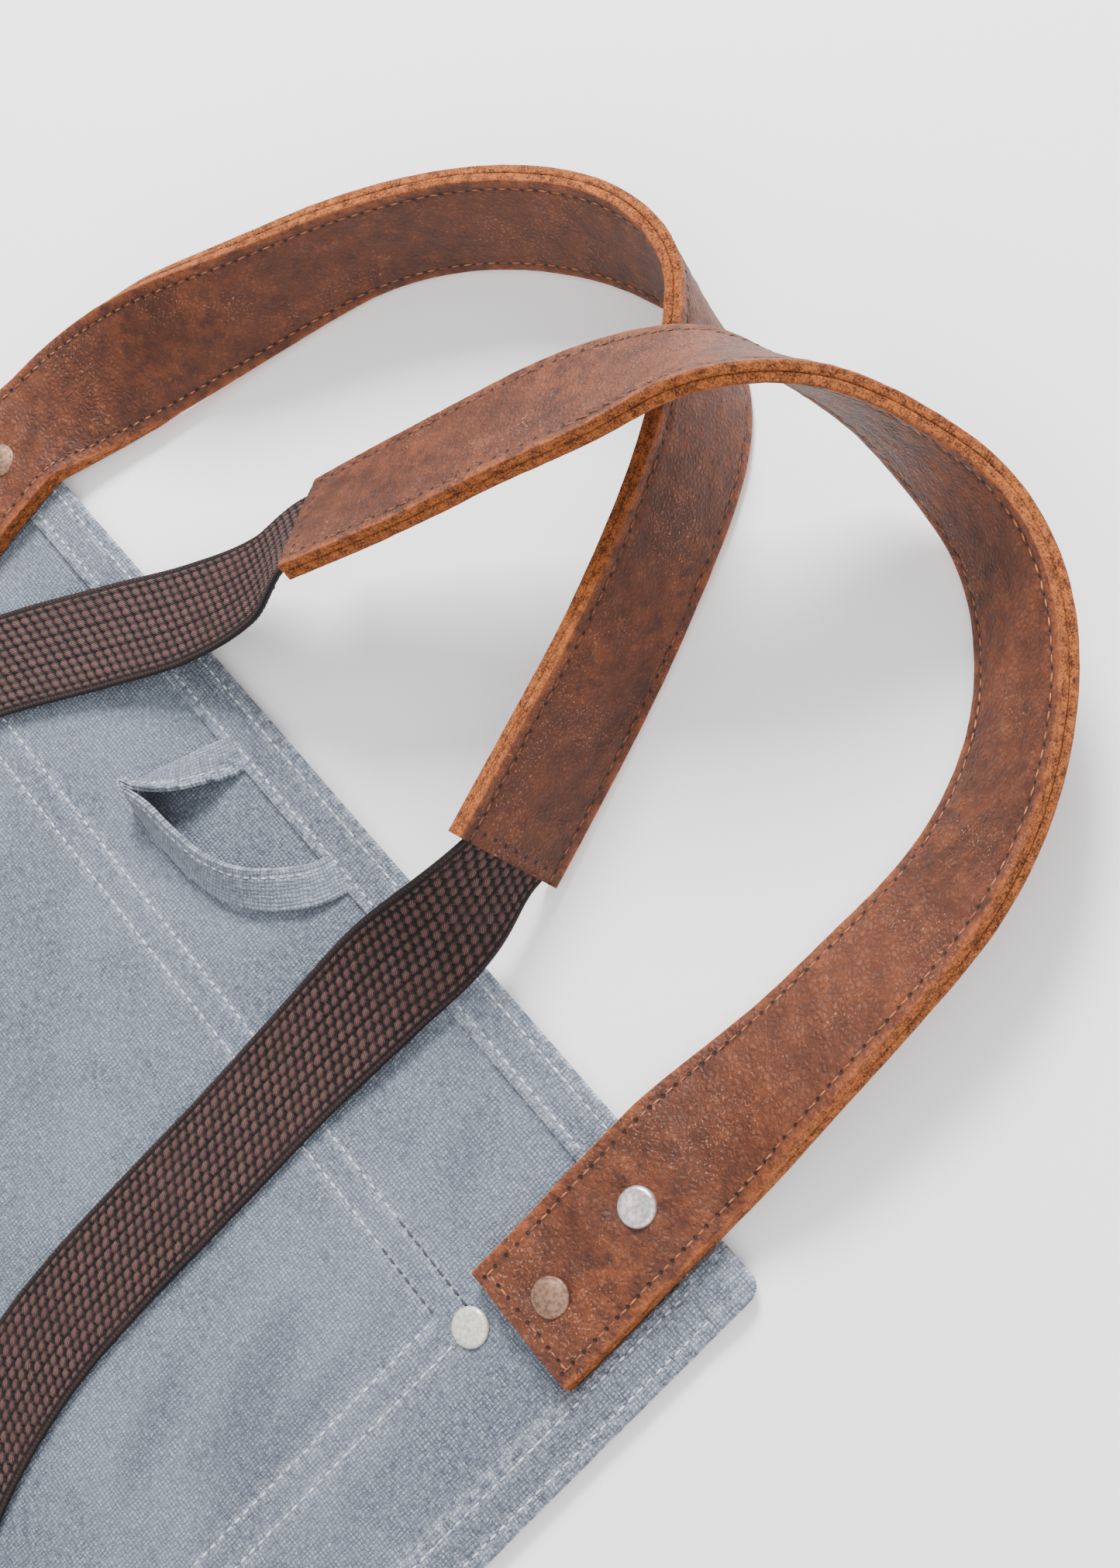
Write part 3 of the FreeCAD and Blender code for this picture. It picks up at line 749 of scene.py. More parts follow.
@dataclass(frozen=True)
class Patch:
    """A pocket or panel sewn on under the cloth, with rows of stitches round its edge."""

    node: str
    left: float
    right: float
    low: float
    high: float
    below: float
    corner: float = 9.0
    insets: tuple[float, ...] = (5.5, 14.0)
    thick: float = 1.0

    def inside(self, x: np.ndarray, y: np.ndarray) -> np.ndarray:
        """Distance from the patch's nearest edge, below 0 outside it."""
        side = np.minimum(x - self.left, self.right - x)
        return np.minimum(side, np.minimum(y - self.low, self.high - y))

    def rows(self) -> list[np.ndarray]:
        """The paths of its stitch rows, each as points in millimetres."""
        paths = []
        for inset in self.insets:
            left, right = self.left + inset, self.right - inset
            low, high = self.low + inset, self.high - inset
            paths.append(np.array([(left, high), (left, low), (right, low), (right, high)], float))
            paths.append(np.array([(left, high), (right, high)], float))
        return paths

    def build(self, drawing: Drawing) -> bpy.types.Object:
        """Builds the patch with its folded edge and puckers."""
        x = np.linspace(self.left, self.right, round((self.right - self.left) / 2.6) + 1)
        y = np.linspace(self.low, self.high, round((self.high - self.low) / 2.6) + 1)
        x, y = np.meshgrid(x, y)
        side = np.minimum(x - self.left, self.right - x)
        base = y - self.low
        inward, upward = cornered(side, base, self.corner)
        x = x + np.where(x - self.left < self.right - x, inward, -inward)
        y = y + upward
        edge = np.minimum(np.minimum(side, base), self.high - y)
        flat = drawing.points(x, y, np.zeros_like(x))
        wave = undulation(flat)
        seams = sum(dent(edge - inset, 0.22, 1.0) for inset in self.insets)
        puff = 0.1 * np.sin(x * 0.9 + y * 0.9) * np.exp(-np.abs(edge - self.insets[0]) / 5)
        under = self.below + wave - seams + puff + 0.45 * rounding(edge, 1.0)
        under = np.maximum(under, 0.06)
        upper = np.maximum(self.below + self.thick + wave, under + 0.4) - 0.3 * rounding(edge, 1.0)
        uv = flat[..., :2]
        worn = np.exp(-edge / 1.6) * 0.8 + 0.15
        bm = lattice(np.concatenate([drawing.points(x, y, upper), drawing.points(x, y, under)[::-1]]),
                     {"wear": np.concatenate([worn, worn[::-1]])}, np.concatenate([uv, uv[::-1]]), True)
        thing = new_object(bm, self.node + "_cloth", Shade.CANVAS)
        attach(thing, "apron")
        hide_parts(self.node)
        return thing

    def stitches(self, drawing: Drawing) -> bpy.types.Object:
        """The rows as they show on the patch's own face, underneath."""
        places = []
        for path in self.rows():
            spots, ways = spaced(path, PALE_PITCH, 1.0)
            flat = drawing.points(spots[:, 0], spots[:, 1], np.zeros(len(spots)))
            height = np.maximum(self.below + undulation(flat) + 0.14, 0.33)
            for spot, way, level in zip(spots, ways, height):
                centre = drawing.points(spot[0], spot[1], level)
                places.append((centre, np.array([way[0], way[1], 0.0]), np.array([0.0, 0.0, -1.0])))
        thing = sewn(places, self.node + "_stitches", Shade.PALE_THREAD, PALE_STITCH)
        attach(thing, "apron")
        return thing


@dataclass(frozen=True)
class Cloth:
    """The apron's canvas in one piece: bib, armholes, waist and skirt, with a folded hem all round."""

    patches: tuple[Patch, ...]
    bib_half: float = 186.5
    bib_straight: float = 110.0
    armhole: float = 181.5
    waist_drop: float = 290.0
    skirt_half: float = 345.0
    fold_drop: float = 575.0
    skirt_drop: float = 860.0
    hem: float = 15.0
    base: float = 2.4
    thick: float = 1.0
    rise: float = 1.2
    bend: float = 16.0
    corner: float = 4.5
    columns: int = 136
    creases: tuple[tuple[float, float, float, float, float, float], ...] = (
        (100, -92, 122, -150, 8, 1.7), (122, -80, 132, -168, 5, 1.3), (86, -124, 108, -176, 6, 1.4),
        (10, -92, -20, -190, 9, 0.7), (-40, -88, -66, -150, 6, 0.5), (100, -18, 118, -54, 6, 0.9),
        (148, -82, 162, -150, 5, 0.7), (150, -90, 150, -170, 4, 0.4), (-6, -50, 34, -56, 5, 0.35),
    )

    def arc(self, share: np.ndarray, offset: float) -> np.ndarray:
        """Places on the armhole, or on the hem's inner fold beside it.

        Args:
            share: 0 at the bib and 1 at the waist.
            offset: Distance inwards from the cloth's edge: 0 or the hem's width.

        Returns:
            Points in millimetres.
        """
        centre = self.bib_half + self.armhole
        radius = self.armhole + offset
        turn = share * math.acos((centre - self.skirt_half + offset) / radius)
        return np.stack([centre - radius * np.cos(turn), -self.bib_straight - radius * np.sin(turn)], axis=-1)

    def edges(self) -> tuple[np.ndarray, np.ndarray, np.ndarray]:
        """The right edge from top to bottom.

        Returns:
            Points on the outer edge, the matching points on the hem's inner fold, and each one's distance
            from the bib's top or the skirt's bottom edge where that is within the hem.
        """
        hem = np.array(HEM_STEPS)
        seams = [-58.0, -60.2, -61.0, -61.8, -65.0, -68.5, -69.3, -70.1, -72.0]
        upper = np.unique(np.concatenate([np.linspace(-15.6, -self.bib_straight, 36), seams]))[::-1]
        share = np.linspace(0, 1, 62)[1:]
        outer_low = -self.waist_drop
        inner_low = self.arc(np.array([1.0]), self.hem)[0, 1]
        bottom = -self.skirt_drop + self.hem
        close = np.arange(self.fold_drop - 2, self.fold_drop + self.bend + 2, 1.1)
        close = (close + outer_low) / (-bottom + outer_low)
        stops = np.unique(np.concatenate([np.linspace(0, 1, 92)[1:], close]))
        inset = self.skirt_half - self.hem
        sides = outer_low + stops * (bottom - outer_low)
        outer = [
            np.stack([np.full(len(hem), self.bib_half), -hem], axis=1),
            np.stack([np.full(len(upper), self.bib_half), upper], axis=1),
            self.arc(share, 0.0),
            np.stack([np.full(len(stops), self.skirt_half), sides], axis=1),
            np.stack([np.full(len(hem) - 1, self.skirt_half), -self.skirt_drop + hem[::-1][1:]], axis=1),
        ]
        low = sides + (inner_low - outer_low) * np.clip(1 - (outer_low - sides) / 240, 0, 1)
        inner = [
            np.stack([np.full(len(hem), self.bib_half - self.hem), -hem], axis=1),
            np.stack([np.full(len(upper), self.bib_half - self.hem), upper], axis=1),
            self.arc(share, self.hem),
            np.stack([np.full(len(stops), inset), low], axis=1),
            np.stack([np.full(len(hem) - 1, inset), -self.skirt_drop + hem[::-1][1:]], axis=1),
        ]
        middle = len(upper) + len(share) + len(stops)
        ends = np.concatenate([hem, np.full(middle, FAR), hem[::-1][1:]])
        return np.concatenate(outer), np.concatenate(inner), ends

    def hem_height(self, side: np.ndarray, end: np.ndarray) -> np.ndarray:
        """The folded hem's height above the single cloth.

        Args:
            side: Distance from the nearest side edge.
            end: Distance from the top or bottom edge.

        Returns:
            Millimetres above the single cloth's top.
        """
        total = np.zeros(np.broadcast(side, end).shape)
        for distance in (side, end):
            fold = np.where(distance < self.hem - 0.1, self.rise, 0.0)
            band = np.clip((distance - SEAM_ROWS[0]) / (SEAM_ROWS[1] - SEAM_ROWS[0]), 0, 1)
            crown = 0.2 * np.sin(math.pi * band)
            lines = sum(dent(distance - row, 0.26, 0.7) for row in SEAM_ROWS)
            total = np.maximum(total, np.where(fold > 0, fold + crown + lines, 0.0))
        both = (side < self.hem - 0.1) & (end < self.hem - 0.1)
        return total + np.where(both, 0.45, 0.0)

    def relief(self, x: np.ndarray, y: np.ndarray, flat: np.ndarray) -> np.ndarray:
        """The single cloth's height above its flat level: undulation, seams and soft creases."""
        height = undulation(flat)
        for patch in self.patches:
            inside = patch.inside(x, y)
            for inset in patch.insets:
                height += dent(inside - inset, 0.24, 0.9)
            first, last = patch.insets[0], patch.insets[-1]
            band = np.clip((inside - first) / (last - first), 0, 1)
            height += 0.22 * np.sin(math.pi * band)
            pucker = np.sin((x + y * 0.4) * 0.95) * np.exp(-np.abs(inside - last) / 6)
            height += np.where(inside > 0, 0.09, 0.04) * pucker
        for x0, y0, x1, y1, width, size in self.creases:
            run = np.array([x1 - x0, y1 - y0])
            share = np.clip(((x - x0) * run[0] + (y - y0) * run[1]) / (run @ run), 0, 1)
            away = np.hypot(x - x0 - share * run[0], y - y0 - share * run[1])
            swell = size * np.sin(math.pi * np.clip(share * 0.9 + 0.05, 0, 1))
            height += swell * np.exp(-((away / width) ** 2))
        return height

    def surface(
        self, x: np.ndarray, y: np.ndarray, side: np.ndarray, end: np.ndarray, drawing: Drawing
    ) -> np.ndarray:
        """Height of the cloth's upper face above the table, in millimetres."""
        flat = drawing.points(x, y, np.zeros_like(x))
        folded = self.hem_height(side, end)
        single = self.relief(x, y, flat)
        roping = 0.1 * np.sin((x + y) * 0.72 + 1.5 * np.sin((x - y) * 0.05))
        return self.base + self.thick + folded + single + np.where(folded > 0.1, roping, 0.0)

    def build(self, drawing: Drawing) -> bpy.types.Object:
        """Builds the whole cloth as one closed sheet, with rows packed closer about the line where the skirt
        would fold.
        """
        outer, inner, end = self.edges()
        hem = np.array(HEM_STEPS)
        share = np.linspace(-1, 1, self.columns + 1)[1:-1]
        left = outer[:, None] * (-1, 1) + (inner - outer)[:, None] * (-1, 1) * (hem / self.hem)[None, :, None]
        middle = np.stack([inner[:, :1] * share, np.repeat(inner[:, 1:], len(share), axis=1)], axis=-1)
        right = left[:, ::-1] * (-1, 1)
        plan = np.concatenate([left, middle, right], axis=1)
        rows = len(plan)
        inner_side = self.hem + 0.05 + (1 - np.abs(share))[None] * inner[:, :1]
        side = np.concatenate([np.tile(hem, (rows, 1)), inner_side, np.tile(hem[::-1], (rows, 1))], axis=1)
        end = np.repeat(end[:, None], side.shape[1], axis=1)
        x, y = plan[..., 0], plan[..., 1]
        inward, upward = cornered(side, end, self.corner)
        fray = 0.3 * ripple(drawing.points(x, y, np.zeros_like(x)), 420, 7.0) * np.exp(-side / 0.8)
        x = x - np.sign(x) * (inward + np.abs(fray))
        y = y + np.where(y > -self.waist_drop, -upward, upward)
        top = self.surface(x, y, side, end, drawing)
        fall = np.maximum(rounding(side, 1.1), rounding(end, 1.1))
        flat = drawing.points(x, y, np.zeros_like(x))
        bottom = self.base + undulation(flat) + fall * 0.9
        top = np.maximum(top - fall, bottom + 0.04)
        wear = 0.16 + 0.75 * np.exp(-np.minimum(side, end) / 1.3)
        wear += 0.6 * np.exp(-(((np.minimum(side, end) - self.hem) / 1.6) ** 2))
        for row in SEAM_ROWS:
            wear += 0.45 * np.exp(-(((np.minimum(side, end) - row) / 1.3) ** 2))
        for patch in self.patches:
            inside = patch.inside(x, y)
            for inset in patch.insets:
                wear += 0.5 * np.exp(-(((inside - inset) / 1.5) ** 2))
        wear = np.clip(wear, 0, 1)
        uv = flat[..., :2]
        faces = np.concatenate([drawing.points(x, y, top)[::-1], drawing.points(x, y, bottom)])
        # The fold mark, how far the creases stand above the undulation, is where the canvas material paints
        # shade.
        fold = np.clip((self.relief(x, y, flat) - undulation(flat) - 0.25) / 0.9, 0, 1)
        marks = {"wear": np.concatenate([wear[::-1], wear]), "fold": np.concatenate([fold[::-1], fold])}
        bm = lattice(faces, marks, np.concatenate([uv[::-1], uv]), True)
        return new_object(bm, "apron_cloth", Shade.CANVAS)

    def area(self) -> float:
        """The cloth's flat area in square metres."""
        outer, _, _ = self.edges()
        heights = -np.diff(outer[:, 1])
        return float(np.sum((outer[1:, 0] + outer[:-1, 0]) * heights)) * MM * MM

    def bent(self, thing: bpy.types.Object, drawing: Drawing) -> None:
        """Bakes a piece's transform into its mesh. The skirt's fold line is found but not used, so nothing
        bends.
        """
        start = drawing.points(0.0, -self.fold_drop, 0.0)
        stop = drawing.points(0.0, -self.fold_drop - self.bend, 0.0)
        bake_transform(thing)

    def hem_stitches(self, drawing: Drawing, above: bool) -> bpy.types.Object:
        """Two rows of stitches round the whole hem, on the inside face or on the front."""
        outer, inner, _ = self.edges()
        first = len(HEM_STEPS)
        places = []
        for row in SEAM_ROWS:
            path = outer[first:-first + 1] + (inner - outer)[first:-first + 1] * (row / self.hem)
            corner = np.array([[self.bib_half - row, -row]])
            foot = np.array([[self.skirt_half - row, -self.skirt_drop + row]])
            path = np.concatenate([corner, path, foot])
            for sign in (1, -1):
                places += self.on_cloth(path * (sign, 1), drawing, above, row, FAR)
            for x, y in (corner[0], foot[0]):
                places += self.on_cloth(np.array([(-x, y), (x, y)]), drawing, above, FAR, row)
        name = "hem_stitches_%s" % ("inside" if above else "front")
        return sewn(places, name, Shade.PALE_THREAD, PALE_STITCH)

    def on_cloth(
        self, path: np.ndarray, drawing: Drawing, above: bool, side: float = FAR, end: float = FAR
    ) -> list[tuple[np.ndarray, np.ndarray, np.ndarray]]:
        """Stitch places along a path over the cloth.

        Args:
            path: Points in millimetres.
            drawing: Where the flat drawing lies.
            above: On the inside face, or on the front underneath.
            side: Distance from the side edge, where the path is in that hem.
            end: Distance from the top or bottom edge, where the path is in that hem.

        Returns:
            Centre, direction and normal of each stitch.
        """
        spots, ways = spaced(path, PALE_PITCH, 1.5)
        x, y = spots.T
        if above:
            level = self.surface(x, y, np.full(len(x), side), np.full(len(x), end), drawing) + 0.12
        else:
            level = self.base + undulation(drawing.points(x, y, np.zeros_like(x))) - 0.08
        centres = drawing.points(x, y, level)
        ahead = np.concatenate([ways, np.zeros((len(ways), 1))], axis=1)
        normal = np.array([0.0, 0.0, 1.0 if above else -1.0])
        return [(centre, way, normal) for centre, way in zip(centres, ahead)]

    def seam_stitches(self, drawing: Drawing) -> list[bpy.types.Object]:
        """The rows that hold the patches, as they show on the inside face: pale, and dark near the rivets."""
        pale, dark = [], []
        for patch in self.patches:
            for path in patch.rows():
                for place in self.on_cloth(path, drawing, True):
                    x, y = place[0][0] / MM, (place[0][1] - drawing.bib_top) / MM
                    near_rivet = 108 < abs(x) < 138 and -71 < y < -60
                    (dark if near_rivet else pale).append(place)
        pieces = [
            sewn(pale, "seam_stitches", Shade.PALE_THREAD, PALE_STITCH),
            sewn(dark, "seam_stitches_dark", Shade.DARK_THREAD, DARK_STITCH),
        ]
        for piece in pieces:
            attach(piece, "apron")
        return pieces


def make_cloth(drawing: Drawing) -> None:
    """Builds the canvas, its patches and their stitches."""
    chest = Patch("chest_panel", -147, 147, -236, -56, 1.4, 9.0, (5.5, 13.8))
    patches = (
        chest,
        Patch("chest_pocket", -62, 62, -212, -92, 0.4, 9.0, (3.0,)),
        Patch("hip_pocket_left", -252, -62, -540, -350, 1.4, 9.0, (3.5, 11.0)),
        Patch("hip_pocket_right", 62, 252, -540, -350, 1.4, 9.0, (3.5, 11.0)),
    )
    cloth = Cloth(tuple(patch for patch in patches if patch.node != "chest_pocket"))
    sheet = cloth.build(drawing)
    cloth.bent(sheet, drawing)
    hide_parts("canvas_bib_and_waist", "canvas_skirt")
    rows = [cloth.hem_stitches(drawing, True), cloth.hem_stitches(drawing, False)]
    for row in rows:
        cloth.bent(row, drawing)
    rows += cloth.seam_stitches(drawing)
    log.info("%s: %d faces", sheet.name, len(sheet.data.polygons))
    cloth.area()
    for patch in patches:
        thing = patch.build(drawing)
        patch.stitches(drawing)
        log.info("%s: %d faces", thing.name, len(thing.data.polygons))


# ---------------------------------------------------------------- leather


@dataclass(frozen=True)
class Ply:
    """One layer of a leather band, with its stitches on the outer face."""

    name: str
    node: str
    shade: Shade
    thread: Shade
    side: int
    width: float = 38.0
    thick: float = 2.8
    corner: float = 0.55
    row: float = 15.5
    pitch: float = 4.0

    def section(self) -> tuple[np.ndarray, np.ndarray, np.ndarray, np.ndarray]:
        """The ply's outline across the band.

        Returns:
            Distance across and height from the inner face in millimetres, and how far each point is raw
            edge and outer face.
        """
        half, top, corner = self.width / 2, self.thick, self.corner
        bend = np.radians([25.0, 50.0, 75.0])
        face = np.linspace(-half + corner, half - corner, 46)
        turn = zip(np.sin(bend) - 1, np.cos(bend) - 1)
        right = [(half + corner * out, top + corner * down, 0.5, 0.5) for out, down in turn]
        right += [(half, level, 1.0, 0.0) for level in (top - 0.7, top * 0.6, top * 0.38, 0.5)]
        right += [(half - 0.12, 0.2, 1.0, 0.0), (half - 0.5, 0.02, 1.0, 0.0)]
        points = [(a, top, 0.0, 1.0) for a in face] + right
        points += [(a, 0.0, 0.3, 0.0) for a in np.linspace(half - 3, -half + 3, 8)]
        points += [(-a, *rest) for a, *rest in right[::-1]]
        return tuple(np.array(points).T)

    def build(self, frames: Frames, dents: Sequence[tuple[float, float]] = ()) -> bpy.types.Object:
        """Builds the layer.

        Args:
            frames: The band's stations.
            dents: Distance along the band of each rivet in millimetres, and the depth it pulls in.

        Returns:
            The layer.
        """
        across, level, raw, outer = self.section()
        run = frames.run[None, :] / MM
        a = np.repeat(across[:, None], run.shape[1], axis=1)
        t = np.repeat(level[:, None], run.shape[1], axis=1)
        shell = frames.centre[None] + frames.across[None] * (a * MM)[..., None]
        shell = shell + frames.through[None] * (t * MM * self.side)[..., None]
        on_face = outer[:, None]
        on_edge = (raw > 0.9)[:, None] * (np.abs(across) > self.width / 2 - 0.3)[:, None]
        slow = ripple(shell, 55, 1.0 + self.side)
        fine, rough = ripple(shell, 260, 5.0), ripple(shell, 900, 9.0)
        groove = dent(np.abs(a) - self.row, 0.3, 0.75) * (0.75 + 0.25 * np.cos(math.tau * run / self.pitch))
        crown = 0.28 * (1 - (a / self.row) ** 2) * (np.abs(a) < self.row)
        lift = on_face * (groove + crown * 0.8 + 0.24 * fine + 0.06 * rough + 0.16 * slow)
        for place, depth in dents:
            reach = np.hypot(run - place, a)
            pucker = 0.34 * np.sin(4 * np.arctan2(a, run - place) + 0.8) * np.exp(-((reach - 9) / 4) ** 2)
            lift = lift + on_face * (dent(reach, depth, 6.5) + pucker + 0.22 * fine * np.exp(-reach / 16))
        sway = 0.3 * np.sign(a) * ripple(frames.centre, 38, 4.0 * self.side)
        spread = on_edge * (0.1 * rough + 0.16 * fine) + sway
        spread = np.where(on_edge | (np.abs(a) > self.row), spread, 0.0)
        points = shell + frames.through[None] * (lift * MM * self.side)[..., None]
        spread = spread * np.sign(a) * np.where(on_edge, 1, 0.6)
        points = points + frames.across[None] * (spread * MM)[..., None]
        points[..., 2] = np.maximum(points[..., 2], 0.02 * MM)
        wide = np.ones_like(a)
        wear = np.exp(-(self.width / 2 - np.abs(a)) / 1.3) * 0.8 + 0.1 + 0.3 * np.clip(slow, 0, 1)
        flat = np.stack([run * wide * MM, a * MM], axis=-1)
        end = np.minimum(run, run[0, -1] - run) * wide * MM
        marks = {"raw": raw[:, None] * wide, "outer": on_face * wide, "wear": np.clip(wear, 0, 1), "end": end}
        bm = lattice(points, marks, flat, True)
        thing = new_object(bm, self.name, self.shade)
        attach(thing, "apron")
        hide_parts(self.node)
        log.info("%s: %d faces", thing.name, len(thing.data.polygons))
        return thing

    def stitches(self, frames: Frames, ends: tuple[bool, bool] = (True, True)) -> bpy.types.Object:
        """Rows of stitches along both edges of the outer face, and across its ends."""
        margin = self.width / 2 - self.row
        length = frames.length / MM
        height = (self.thick - 0.18) * self.side * MM
        stops = np.arange(self.pitch, length - 2, self.pitch)
        spots = [(run, sign * self.row) for sign in (-1, 1) for run in stops]
        places = []
        for run, across in spots:
            centre, along, side, up = frames.at(run * MM)
            places.append((centre + side * across * MM + up * height, along, up * self.side))
        for wanted, run in zip(ends, (margin, length - margin)):
            centre, along, side, up = frames.at(run * MM)
            steps = np.arange(-self.row + self.pitch / 2, self.row, self.pitch) if wanted else ()
            places += [(centre + side * step * MM + up * height, side, up * self.side) for step in steps]
        thing = sewn(places, self.name + "_stitches", self.thread, LEATHER_STITCH)
        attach(thing, "apron")
        return thing


@dataclass(frozen=True)
class Strap:
    """A leather strap of two plies, riveted to a corner of the bib."""

    hand: str
    route: Route
    side: int

    def build(self, drawing: Drawing) -> None:
        """Builds both plies and their stitches."""
        frames = self.route.frames(drawing, 1.7)
        inner, outer = ("strap_%s_%s" % (self.hand, part) for part in ("lining", "face"))
        lining = Ply(inner + "_ply", inner, Shade.LINING, Shade.TAN_THREAD, self.side)
        face = Ply(outer + "_ply", outer, Shade.FACE, Shade.BROWN_THREAD, -self.side)
        lining.build(frames, ((12.0, 0.8), (44.0, 0.8)))
        face.build(frames)
        lining.stitches(frames)
        face.stitches(frames)


@dataclass(frozen=True)
class Tab:
    """A leather tab of two plies at one end of the waist."""

    hand: str
    sign: int
    near: float = 285.0
    far: float = 341.0
    drop: float = 312.0
    rise: float = 4.7

    def build(self, drawing: Drawing) -> None:
        """Builds both plies and the upper one's stitches."""
        stops = (self.near, (self.near + self.far) / 2, self.far)
        stations = tuple((self.sign * x, -self.drop, self.rise, 0.0) for x in stops)
        frames = Route(stations, 38.0, 4.0).frames(drawing, 1.4)
        for part, side in (("face", 1), ("backing", -1)):
            node = "waist_tab_%s_%s" % (self.hand, part)
            shade = Shade.LINING if side > 0 else Shade.FACE
            ply = Ply(node + "_ply", node, shade, Shade.TAN_THREAD, side, thick=2.0)
            ply.build(frames, ((14.0, 0.4), (41.0, 0.4)) if side > 0 else ())
            if side > 0:
                ply.stitches(frames)


# ---------------------------------------------------------------- elastic and hanging loop


@dataclass(frozen=True)
class Elastic:
    """A run of woven elastic: staggered round knots between two overcast selvedges."""

    name: str
    node: str
    route: Route
    along: float = 3.3
    beside: float = 2.75
    core: float = 0.4
    knot: float = 0.95
    selvedge: float = 1.7
    neck: float = 30.0
    neck_length: float = 16.0

    def build(self, drawing: Drawing) -> bpy.types.Object:
        """Builds the band with its knots as real relief."""
        frames = self.route.frames(drawing, 0.62)
        half = self.route.width / 2
        face = np.linspace(-half, half, 55)
        across = np.concatenate([face, face[::-1]])
        sign = np.concatenate([np.ones(len(face)), -np.ones(len(face))])
        run = frames.run[None] / MM
        a = np.repeat(across[:, None], run.shape[1], axis=1)
        top = sign[:, None] * np.ones_like(a)
        field = (half - self.selvedge) / self.beside
        column = np.floor(a / self.beside + 0.5 * top)
        da = (a / self.beside + 0.5 * top) - column - 0.5
        phase = run / self.along + 0.5 * np.mod(column, 2) + 0.25 * (top < 0)
        row = np.floor(phase)
        dr = phase - row - 0.5
        chance = np.sin(column * 12.9898 + row * 78.233 + top * 3.1) * 43758.5453
        chance = chance - np.floor(chance)
        slant = dr + 0.34 * da
        dome = np.sqrt(np.clip(1 - np.abs(da / 0.52) ** 2.6 - np.abs(slant / 0.5) ** 2.6, 0, 1))
        inside = np.clip((field * self.beside - np.abs(a)) / 0.5, 0, 1)
        knots = dome * (0.82 + 0.18 * chance) * inside
        edge = np.clip((np.abs(a) - half + self.selvedge) / self.selvedge, 0, 1)
        cord = np.sqrt(np.clip(1 - (2 * edge - 1) ** 2, 0, 1)) * (edge > 0)
        overcast = 0.5 + 0.5 * np.sin(math.tau * (run / 1.15 + a * top * 0.12))
        height = self.core * (1 - 0.75 * edge**4) + self.knot * knots + cord * (0.45 + 0.16 * overcast)
        narrow = 1 - (1 - self.neck / self.route.width) * np.exp(-((run / self.neck_length) ** 2))
        sway = 0.35 * ripple(frames.centre, 22, 6.0)[None]
        shell = frames.centre[None] + frames.across[None] * ((a * narrow + sway) * MM)[..., None]
        shell = shell + frames.through[None] * (top * height * MM)[..., None]
        shell[..., 2] = np.maximum(shell[..., 2], 0.02 * MM)
        # The knot mark, from the knots' and cords' height, sets where the elastic material paints shade in
        # the gaps and highlight on the tops.
        mark = np.clip(knots + cord * (0.35 + 0.4 * overcast) * (edge > 0), 0, 1)
        flat = np.stack([run * np.ones_like(a) * MM, a * MM], axis=-1)
        thing = new_object(lattice(shell, {"knot": mark}, flat, True), self.name, Shade.ELASTIC)
        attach(thing, "apron")
        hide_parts(self.node)
        log.info("%s: %d faces", thing.name, len(thing.data.polygons))
        return thing


@dataclass(frozen=True)
class HangingLoop:
    """A strip of canvas folded along its length, topstitched, and folded over on edge at its tip."""

    route: Route
    row: float = 3.4
    pitch: float = 2.7
    margin: float = 6.0

    def build(self, drawing: Drawing) -> None:
        """Builds the strip and its stitches."""
        frames = self.route.frames(drawing, 0.7)
        half, thick = self.route.width / 2, self.route.thick / 2
        face = np.linspace(-half + 0.5, half - 0.4, 20)
        rim = [(half - 0.1, thick * 0.7), (half, thick * 0.4), (half - 0.25, 0.12), (half - 0.8, 0.0)]
        back = [(-half + 0.12, thick * 0.75), (-half, 0.0), (-half + 0.12, -thick * 0.75)]
        points = [(a, thick) for a in face] + rim + [(a, -t) for a, t in rim[-2::-1]]
        points += [(a, -thick) for a in face[::-1]] + back[::-1]
        across, level = np.array(points).T
        run = frames.run[None] / MM
        a = np.repeat(across[:, None], run.shape[1], axis=1)
        shell = frames.centre[None] + frames.across[None] * (a * MM)[..., None]
        puff = np.sign(level)[:, None] * (dent(a - self.row, 0.22, 0.6) + 0.12 * ripple(shell, 210, 2.0))
        shell = shell + frames.through[None] * ((level[:, None] + puff) * MM)[..., None]
        wear = 0.2 + 0.8 * np.exp(-(half - np.abs(a)) / 0.8) + 0.5 * np.exp(-((a - self.row) ** 2))
        wear = np.clip(wear, 0, 1)
        flat = np.stack([run * np.ones_like(a) * MM, a * MM], axis=-1)
        strip = new_object(lattice(shell, {"wear": wear}, flat, True), "hanging_loop_strip", Shade.CANVAS)
        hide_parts("hanging_loop")
        places = []
        for sign in (-1, 1):
            for step in np.arange(self.margin, frames.length / MM - self.margin, self.pitch):
                centre, along, side, up = frames.at(step * MM)
                centre = centre + side * self.row * MM + up * sign * (thick - 0.06) * MM
                places.append((centre, along, up * sign))
        rows = sewn(places, "hanging_loop_stitches", Shade.PALE_THREAD, LOOP_STITCH)
        for piece in (strip, rows):
            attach(piece, "loop")
        log.info("%s: %d faces", strip.name, len(strip.data.polygons))


# ---------------------------------------------------------------- rivets


CAP_RIM = ((5.25, 0.0), (4.6, -0.25))


